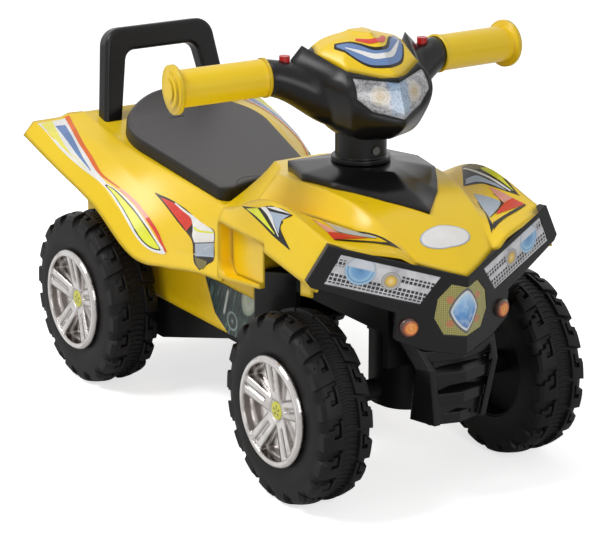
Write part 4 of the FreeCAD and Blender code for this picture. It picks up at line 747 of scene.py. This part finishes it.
# a smooth curve through the points; u counts points from the first
def curveAt(points, u):
    i = min(int(u), len(points) - 2)
    t = u - i
    a, b, c, d = (Vector(points[min(max(k, 0), len(points) - 1)]) for k in (i - 1, i, i + 1, i + 2))
    return 0.5 * (2 * b + (c - a) * t + (2 * a - 5 * b + 4 * c - d) * t * t + (3 * b - a - 3 * c + d) * t * t * t)


def landing(carrier, spot, way, side, lift):
    if way == "down":
        start = Vector((-side * spot.x / 1000, spot.y / 1000, sticker["above"]))
        heading, reach = Vector((0, 0, -1)), sticker["drop"]
    else:
        start = Vector((side * sticker["beside"], spot.x / 1000, spot.y / 1000))
        heading, reach = Vector((-side, 0, 0)), sticker["press"]
    hit, place, normal, _ = carrier.ray_cast(start, heading)
    if not hit:  # past the carrier's edge, so the nearest point takes it
        _, place, normal, _ = carrier.closest_point_on_mesh(start + heading * reach)
    return place + normal * lift


def layStripes(name, carrierName, body, stripes, sides=(-1, 1), way="down"):
    carrier = nodes[carrierName]
    names = sorted({stripe[0] for stripe in stripes})
    for side in sides:
        outward = Vector((0, 0, 1)) if way == "down" else Vector((side, 0, 0))
        bm = bmesh.new()
        for level, (inkName, rungs) in enumerate(stripes):
            firsts = [rung[:2] for rung in rungs]
            seconds = [rung[2:] for rung in rungs]
            spans = len(rungs) - 1
            grid = bmesh.ops.create_grid(bm, x_segments=spans * sticker["cells"], y_segments=sticker["across"],
                                         size=1.0)
            made = {face for vert in grid["verts"] for face in vert.link_faces}
            for vert in grid["verts"]:
                u = (vert.co.x + 1) / 2 * spans
                v = (vert.co.y + 1) / 2
                spot = curveAt(firsts, u).lerp(curveAt(seconds, u), v)
                vert.co = landing(carrier, spot, way, side, sticker["lift"] + sticker["step"] * level)
            for face in made:
                face.material_index = names.index(inkName)
                face.normal_update()
                if face.normal.dot(outward) < 0:
                    face.normal_flip()
        piece = newPiece(name + ("_left" if side > 0 else "_right"), bm, [inks[each] for each in names], body,
                         sticker["sharpFrom"])


rearFenderStripes = [
    ("white", [(-134, 288, -104, 282), (-134.1, 266.2, -117.1, 227.7), (-133.9, 232.6, -121.5, 198.2),
               (-130.9, 195.3, -123.3, 176.4), (-125.7, 162.8, -121.4, 156.9)]),
    ("lemon", [(-132, 285, -118.4, 286), (-132.6, 264.7, -126.6, 253.3), (-132.5, 233.5, -131.1, 223.1),
               (-129.7, 192.6, -128.8, 188.4)]),
    ("blue", [(-121.1, 272.6, -112, 267.8), (-124.9, 239.7, -120.3, 229), (-127.9, 210, -125, 204.6),
              (-127.7, 183.3, -127.1, 182.2)]),
    ("orange", [(-104, 284.5, -99.5, 282), (-117, 232.8, -113.8, 226.4), (-121.6, 200.3, -118, 196.4),
                (-123.2, 173.1, -120.2, 169.8), (-115.3, 147.3, -113, 144.6)]),
    ("white", [(-125.7, 162.8, -122.9, 161), (-122.9, 145.2, -114.6, 140.8), (-120.9, 124.3, -109.2, 118),
               (-120.3, 98.8, -108.7, 94.6), (-119.6, 71.3, -111.9, 69.2), (-118.7, 47.5, -117.3, 44.5)]),
    ("dark", [(-124.1, 158.8, -122.2, 157.7), (-121.2, 143.7, -116.2, 142.4), (-119.2, 123.9, -111.1, 119),
              (-119.1, 98.6, -110.2, 95.4), (-118.6, 74.1, -112.7, 74.4), (-117.3, 56.5, -116.8, 56.2)]),
    ("lime", [(-122.9, 156.4, -121.8, 155.7), (-120.4, 142.9, -117.2, 142.4), (-118.3, 123.2, -112.2, 119.4),
              (-118.4, 97.6, -111.1, 96), (-117.9, 74.1, -113.2, 75.2), (-116.9, 60, -116.5, 59.2)]),
    ("pink", [(-115.1, 145.4, -112.4, 143.4), (-109.6, 125, -106.3, 123), (-107.4, 104.5, -104.3, 102.2)]),
    ("red", [(-107.4, 104.5, -104.3, 102.2), (-108.5, 81.7, -106.1, 79.2), (-117.2, 46.9, -116.6, 44.7)]),
]
sidePanelStripes = [
    ("dark", [(-90.6, 114.4, -89.7, 113.4), (-89.2, 95.6, -82.9, 92.2), (-89.5, 72.2, -79, 66.3),
              (-92.1, 47.3, -79.7, 33.1), (-100, 22.9, -82.4, 10), (-112.8, -0.5, -95.6, -12.3),
              (-118.1, -12.2, -111.2, -38.6), (-121, -26.8, -115.4, -35.8)]),
    ("red", [(-88.7, 105.2, -87.7, 103.7), (-88.1, 93, -83.7, 90.9), (-88.3, 75.4, -81.4, 76.3),
             (-89.4, 59.4, -80.9, 62.1), (-90.9, 50.4, -83.3, 50.6)]),
    ("white", [(-82.9, 87.8, -81.8, 86.3), (-81.8, 72.4, -79.8, 67.1), (-81.2, 58.3, -78.8, 52.4),
               (-85.9, 45.9, -80.3, 23.5), (-93.5, 34.2, -84.3, 7.3), (-99.2, 20, -92.1, -5.8)]),
    ("lime", [(-86.3, 43.3, -84.6, 45), (-87.6, 32.3, -85.6, 34.8), (-85.9, 18.4, -84.2, 20.8),
              (-84.7, 6.6, -83.2, 9.2)]),
    ("mist", [(-100.2, 16.9, -93.5, -8.2), (-108, 3.4, -102.9, -24), (-114.1, -7.5, -111.3, -38.2)]),
    ("olive", [(-114.7, -7.9, -114.8, -26.5), (-118.4, -16.9, -115.4, -32.7), (-120.4, -26.2, -119.4, -32.1)]),
]
spearStripes = [
    ("dark", [(-104, 256, -105, 256.8), (-119.7, 254.8, -134, 262.4), (-144.7, 250.4, -160, 269.6),
              (-165, 245.4, -180, 260)]),
    ("dark", [(-165, 245.4, -180, 260), (-175, 243.4, -178.5, 253), (-198.5, 239, -198.8, 239.6)]),
    ("dark", [(-158, 268.5, -165, 261), (-174, 270.8, -178, 262), (-191.5, 269, -191.5, 268.4)]),
    ("lime", [(-113.7, 256.6, -134.2, 262), (-133.8, 254.6, -144.5, 258.6), (-152.4, 251, -157.6, 253),
              (-170.4, 246.8, -171.1, 247.2)]),
    ("white", [(-138.6, 263.8, -147.7, 266.4), (-151.5, 260.6, -158.6, 262.6), (-163.8, 254.2, -167.2, 255),
               (-177.1, 246, -177.8, 246.6)]),
    ("mist", [(-154.2, 264, -187, 267.6), (-161.4, 260.5, -178.6, 261.8), (-168.1, 255.2, -176.4, 256.2),
              (-176.4, 248.9, -177, 249.5)]),
    ("white", [(-150.9, 266.6, -151.2, 267.4), (-164, 267.4, -166, 270), (-178, 268.6, -179, 270),
               (-189, 269, -189.4, 269.2)]),
]
crestStripes = [
    ("dark", [(-113.5, -131.8, -89.8, -166.8), (-118, -142.4, -94.5, -174.2), (-120.5, -158, -100.2, -183.6),
              (-120.5, -173, -102.1, -193.8), (-119, -188, -104.8, -205), (-116.5, -204, -107.2, -213.4),
              (-111.7, -226.7, -111, -222.9)]),
    ("olive", [(-112.6, -135.3, -111.8, -137.4), (-116.6, -143.9, -111.1, -153.6), (-119.3, -157, -113.3, -160.2),
               (-119.3, -163, -114.2, -164.4)]),
    ("lime", [(-114.8, -159, -113.2, -165.8), (-118.8, -172, -112.7, -179.3), (-117.6, -186, -112.6, -192.3),
              (-115.8, -197, -112.4, -204.2), (-112.6, -215.6, -112.2, -214)]),
    ("white", [(-111.6, -135.6, -109.5, -139), (-110.2, -161.2, -108.2, -164.1), (-110.5, -182.3, -108.4, -184.8),
               (-110.7, -199.2, -108.5, -201), (-110.7, -213.9, -109.2, -214.9)]),
    ("mist", [(-98.2, -159.5, -92.3, -167.1), (-105.3, -165.8, -99.4, -176.1), (-106.4, -181.5, -103.3, -190),
              (-107.4, -197.3, -105.2, -202.3), (-107.5, -210.7, -107, -211)]),
]
noseStripes = [
    ("mist", [(-85.2, -189.2, -84.6, -190.6), (-90.4, -213.9, -77, -208.3), (-88.9, -226.4, -71.3, -222.9),
              (-66.2, -242.4, -62.5, -244.7)]),
    ("dark", [(-77.8, -205.2, -77.5, -207.7), (-59.9, -243.5, -61.1, -246.1), (-49.6, -266, -57, -258.9)]),
    ("dark", [(-95.5, -206.5, -95.9, -208), (-89.1, -226.6, -91.5, -228.6), (-61.9, -245.5, -65.1, -244.3)]),
    ("pink", [(-100.4, -192.3, -100.1, -193.3), (-95.1, -210.7, -102.5, -208.6), (-92.1, -227.3, -103.9, -225.1)]),
    ("red", [(-103.9, -225.1, -91.5, -228.6), (-105.5, -233.3, -81.7, -235), (-106.8, -240.7, -71.3, -243)]),
    ("dark", [(-106.7, -241.1, -106.7, -242.6), (-94, -243.4, -92.3, -247.8), (-76, -248.8, -73, -253.9),
              (-59, -255.2, -53.4, -263.8)]),
]
coverStripes = [
    ("dark", [(-37, -134, -33.5, -129), (-30, -150, -20.5, -138), (-18, -165, -8.5, -152), (0, -173, 0, -157)]),
    ("blue", [(-34.5, -134, -33, -132), (-28.5, -149.5, -21.5, -141), (-17, -163, -9.5, -154.5),
              (0, -170.5, 0, -159.5)]),
    ("white", [(-30, -142, -29.5, -141.2), (-22.5, -150.5, -21, -148.5), (-11.5, -160.5, -9.5, -157.5),
               (0, -165, 0, -161.5)]),
    ("red", [(-17, -139, -14.5, -136), (-8.5, -149, -5.5, -144), (0, -152.5, 0, -146.5)]),
]
# seat marks: the rear line across the seat is a painted reflection of the grip's end, and the front arc is a dark
# line near the seat's front edge
seatMarks = [
    ("groove", [(-24.5, 199.2, -24.5, 200.6), (-15.5, 198.8, -15.5, 201.0), (-6.5, 199.2, -6.5, 200.6)]),
    ("groove", [(-38, 40.6, -37, 41), (-35, 46, -34, 45.4), (-28, 50.6, -27.6, 49.8), (-20, 52, -20, 51.2),
                (-12, 51.4, -12.2, 50.6), (-6, 49, -6.6, 48.4)]),
]

layStripes("rear_fender_stripes", "rear_body", "chassis", rearFenderStripes)
layStripes("side_panel_stripes", "rear_body", "chassis", sidePanelStripes)
layStripes("fender_spear", "front_body", "chassis", spearStripes, way="inward")
layStripes("fender_crest", "front_body", "chassis", crestStripes, sides=(1,))
layStripes("nose_stripes", "front_body", "chassis", noseStripes)
layStripes("cover_chevron", "handlebar_cover", "steering_head", coverStripes)
layStripes("seat_marks", "seat_lid", "seat", seatMarks, sides=(-1,))
print("stickers laid")


# bare oval plate on the hood: a disc pulled to an oval and laid down, with a thin rim
hoodOval = {"middle": (0.0, -262.0), "half": (27.0, 11.0), "face": 0.94, "segments": 48, "ring": 0.35,
            "lift": 0.0003, "step": 0.0002}


def layOval():
    look = hoodOval
    bm = bmesh.new()
    for level, (scale, index) in enumerate(((1.0, 1), (look["face"], 0))):
        circle = bmesh.ops.create_circle(bm, cap_ends=True, radius=1.0, segments=look["segments"])
        made = list({face for vert in circle["verts"] for face in vert.link_faces})
        rings = [bmesh.ops.inset_individual(bm, faces=made, thickness=look["ring"])["faces"] for turn in range(2)]
        made += rings[0] + rings[1]
        for each in made:
            each.material_index = index
        for vert in {vert for each in made for vert in each.verts}:
            spot = Vector([middle + share * half * scale
                           for middle, share, half in zip(look["middle"], vert.co.xy, look["half"])])
            vert.co = landing(nodes["front_body"], spot, "down", 1, look["lift"] + look["step"] * level)
    bmesh.ops.triangulate(bm, faces=bm.faces)
    for face in bm.faces:
        face.normal_update()
        if face.normal.z < 0:
            face.normal_flip()
    plate = newPiece("hood_oval", bm, [inks["white"], inks["mist"]], "chassis", sticker["sharpFrom"])


layOval()
print("hood oval laid")


# hub discs: small caps with a rounded rim and a plain pinwheel print, whose middle is mirrored front to rear
hubDisc = {"radius": 0.0088, "thickness": 0.0009, "rim": 0.0005, "stand": 0.00047, "segments": 40, "sharpFrom": 40,
           "middleY": -0.0075, "reach": 0.196, "height": 0.09, "blades": 5.0,
           "bladeEdge": (0.2, 0.5), "bladeReach": (0.12, 0.62, 0.05),
           "inks": ((0.66, 0.64, 0.05, 1), (0.16, 0.17, 0.02, 1))}


def hubDiscPrint():
    look = hubDisc
    material, tree, shader = newMaterial("hubDiscPrint")
    _, _, y, z = position(tree)
    fromMiddle = calc(tree, "ABSOLUTE", calc(tree, "SUBTRACT", y, look["middleY"]))
    dy = calc(tree, "SUBTRACT", fromMiddle, look["reach"])
    dz = calc(tree, "SUBTRACT", z, look["height"])
    blades = calc(tree, "SINE", calc(tree, "MULTIPLY", calc(tree, "ARCTAN2", dz, dy), look["blades"]))
    far = disc(tree, dy, dz, (0.0, 0.0, look["radius"]))["Distance"]
    dark = calc(tree, "MULTIPLY", remap(tree, blades, *look["bladeEdge"]), within(tree, far, *look["bladeReach"]))
    setFilm(tree, shader, mixColour(tree, dark, *look["inks"]))
    return material


def hubDiscMesh(side, place):
    look = hubDisc
    bm = bmesh.new()
    bmesh.ops.create_cone(bm, cap_ends=True, segments=look["segments"], radius1=look["radius"],
                          radius2=look["radius"], depth=look["thickness"])
    rims = [edge for edge in bm.edges if all(vert.co.z > 0 for vert in edge.verts)]
    bmesh.ops.bevel(bm, geom=rims, offset=look["rim"], segments=3, profile=0.5, affect="EDGES", material=-1)
    bmesh.ops.rotate(bm, verts=bm.verts, cent=(0, 0, 0), matrix=Matrix.Rotation(side * math.pi / 2, 3, "Y"))
    bmesh.ops.translate(bm, verts=bm.verts, vec=place)
    return bm


hubDiscFinish = hubDiscPrint()
for wheel in wheels:
    side = 1 if wheel.endswith("left") else -1
    middle = middleOf("hubcap_" + wheel)
    start = Vector((side * sticker["beside"], middle.y, middle.z))
    face = nodes["hubcap_" + wheel].ray_cast(start, Vector((-side, 0, 0)))[1]
    bm = hubDiscMesh(side, (face.x + side * hubDisc["stand"], middle.y, middle.z))
    cap = newPiece("hub_disc_" + wheel, bm, [hubDiscFinish], "wheel_" + wheel, hubDisc["sharpFrom"])
print("hub discs ready")


# studio: pale floor, white surroundings, three soft lamps
studio = {
    "ambient": 0.30, "floorSize": 6.0, "floorGlow": 0.68, "paper": (0.93, 0.93, 0.93, 1), "paperRough": 0.9,
    "paperSpecular": 0.1, "aim": (0, 0, 0.2),
    "lamps": [("keyLamp", (-1.7, 0.3, 2.4), 41.0, 1.1), ("fillLamp", (-0.4, -2.3, 1.0), 12.0, 1.0),
              ("topLamp", (0.1, 0.5, 2.1), 3.0, 1.6)],  # name, place, power and size
}


# white where the camera, gloss or glass sees it, dimmer as a light
def makeSurround():
    world = bpy.data.worlds.new("studioSurround")
    bpy.context.scene.world = world
    world.use_nodes = True
    tree = world.node_tree
    path = node(tree, "ShaderNodeLightPath")
    seen = calc(tree, "ADD", path.outputs["Is Camera Ray"], path.outputs["Is Glossy Ray"])
    seen = calc(tree, "ADD", seen, path.outputs["Is Transmission Ray"], clamp=True)
    back = tree.nodes["Background"]
    back.inputs["Color"].default_value = (1, 1, 1, 1)
    tree.links.new(remap(tree, seen, 0.0, 1.0, studio["ambient"], 1.0), back.inputs["Strength"])


def makeFloor():
    bm = bmesh.new()
    bmesh.ops.create_grid(bm, x_segments=8, y_segments=8, size=studio["floorSize"])
    mesh = bpy.data.meshes.new("studioFloor")
    bm.to_mesh(mesh)
    bm.free()
    floor = bpy.data.objects.new("studioFloor", mesh)
    bpy.context.scene.collection.objects.link(floor)
    material, tree, shader = newMaterial("floorPaper")
    shader.inputs["Base Color"].default_value = studio["paper"]
    shader.inputs["Roughness"].default_value = studio["paperRough"]
    shader.inputs["Specular IOR Level"].default_value = studio["paperSpecular"]
    path = node(tree, "ShaderNodeLightPath")
    glow = calc(tree, "MULTIPLY", path.outputs["Is Camera Ray"], studio["floorGlow"])
    shader.inputs["Emission Color"].default_value = (1, 1, 1, 1)
    tree.links.new(glow, shader.inputs["Emission Strength"])
    mesh.materials.append(material)


def hang(name, data, place, heading):
    holder = bpy.data.objects.new(name, data)
    holder.location = place
    holder.rotation_euler = Vector(heading).to_track_quat("-Z", "Y").to_euler()
    bpy.context.scene.collection.objects.link(holder)
    return holder


def makeLamps():
    for name, place, power, size in studio["lamps"]:
        lamp = bpy.data.lights.new(name, "AREA")
        lamp.energy = power
        lamp.size = size
        hang(name, lamp, place, Vector(studio["aim"]) - Vector(place))


# camera at the photograph's viewing angle
view = {"place": (-1.25293, -1.98497, 0.88096), "along": (0.5126, 0.8049, -0.2989), "lens": 147.05,
        "sensor": 36.0, "clipEnd": 50.0}


def makeCamera():
    camera = bpy.data.cameras.new("viewCamera")
    camera.sensor_fit = "HORIZONTAL"
    camera.sensor_width = view["sensor"]
    camera.lens = view["lens"]
    camera.clip_end = view["clipEnd"]
    bpy.context.scene.camera = hang("viewCamera", camera, view["place"], view["along"])


bpy.context.scene.view_settings.view_transform = "Standard"
makeSurround()
makeFloor()
makeLamps()
makeCamera()
print("studio and camera ready")
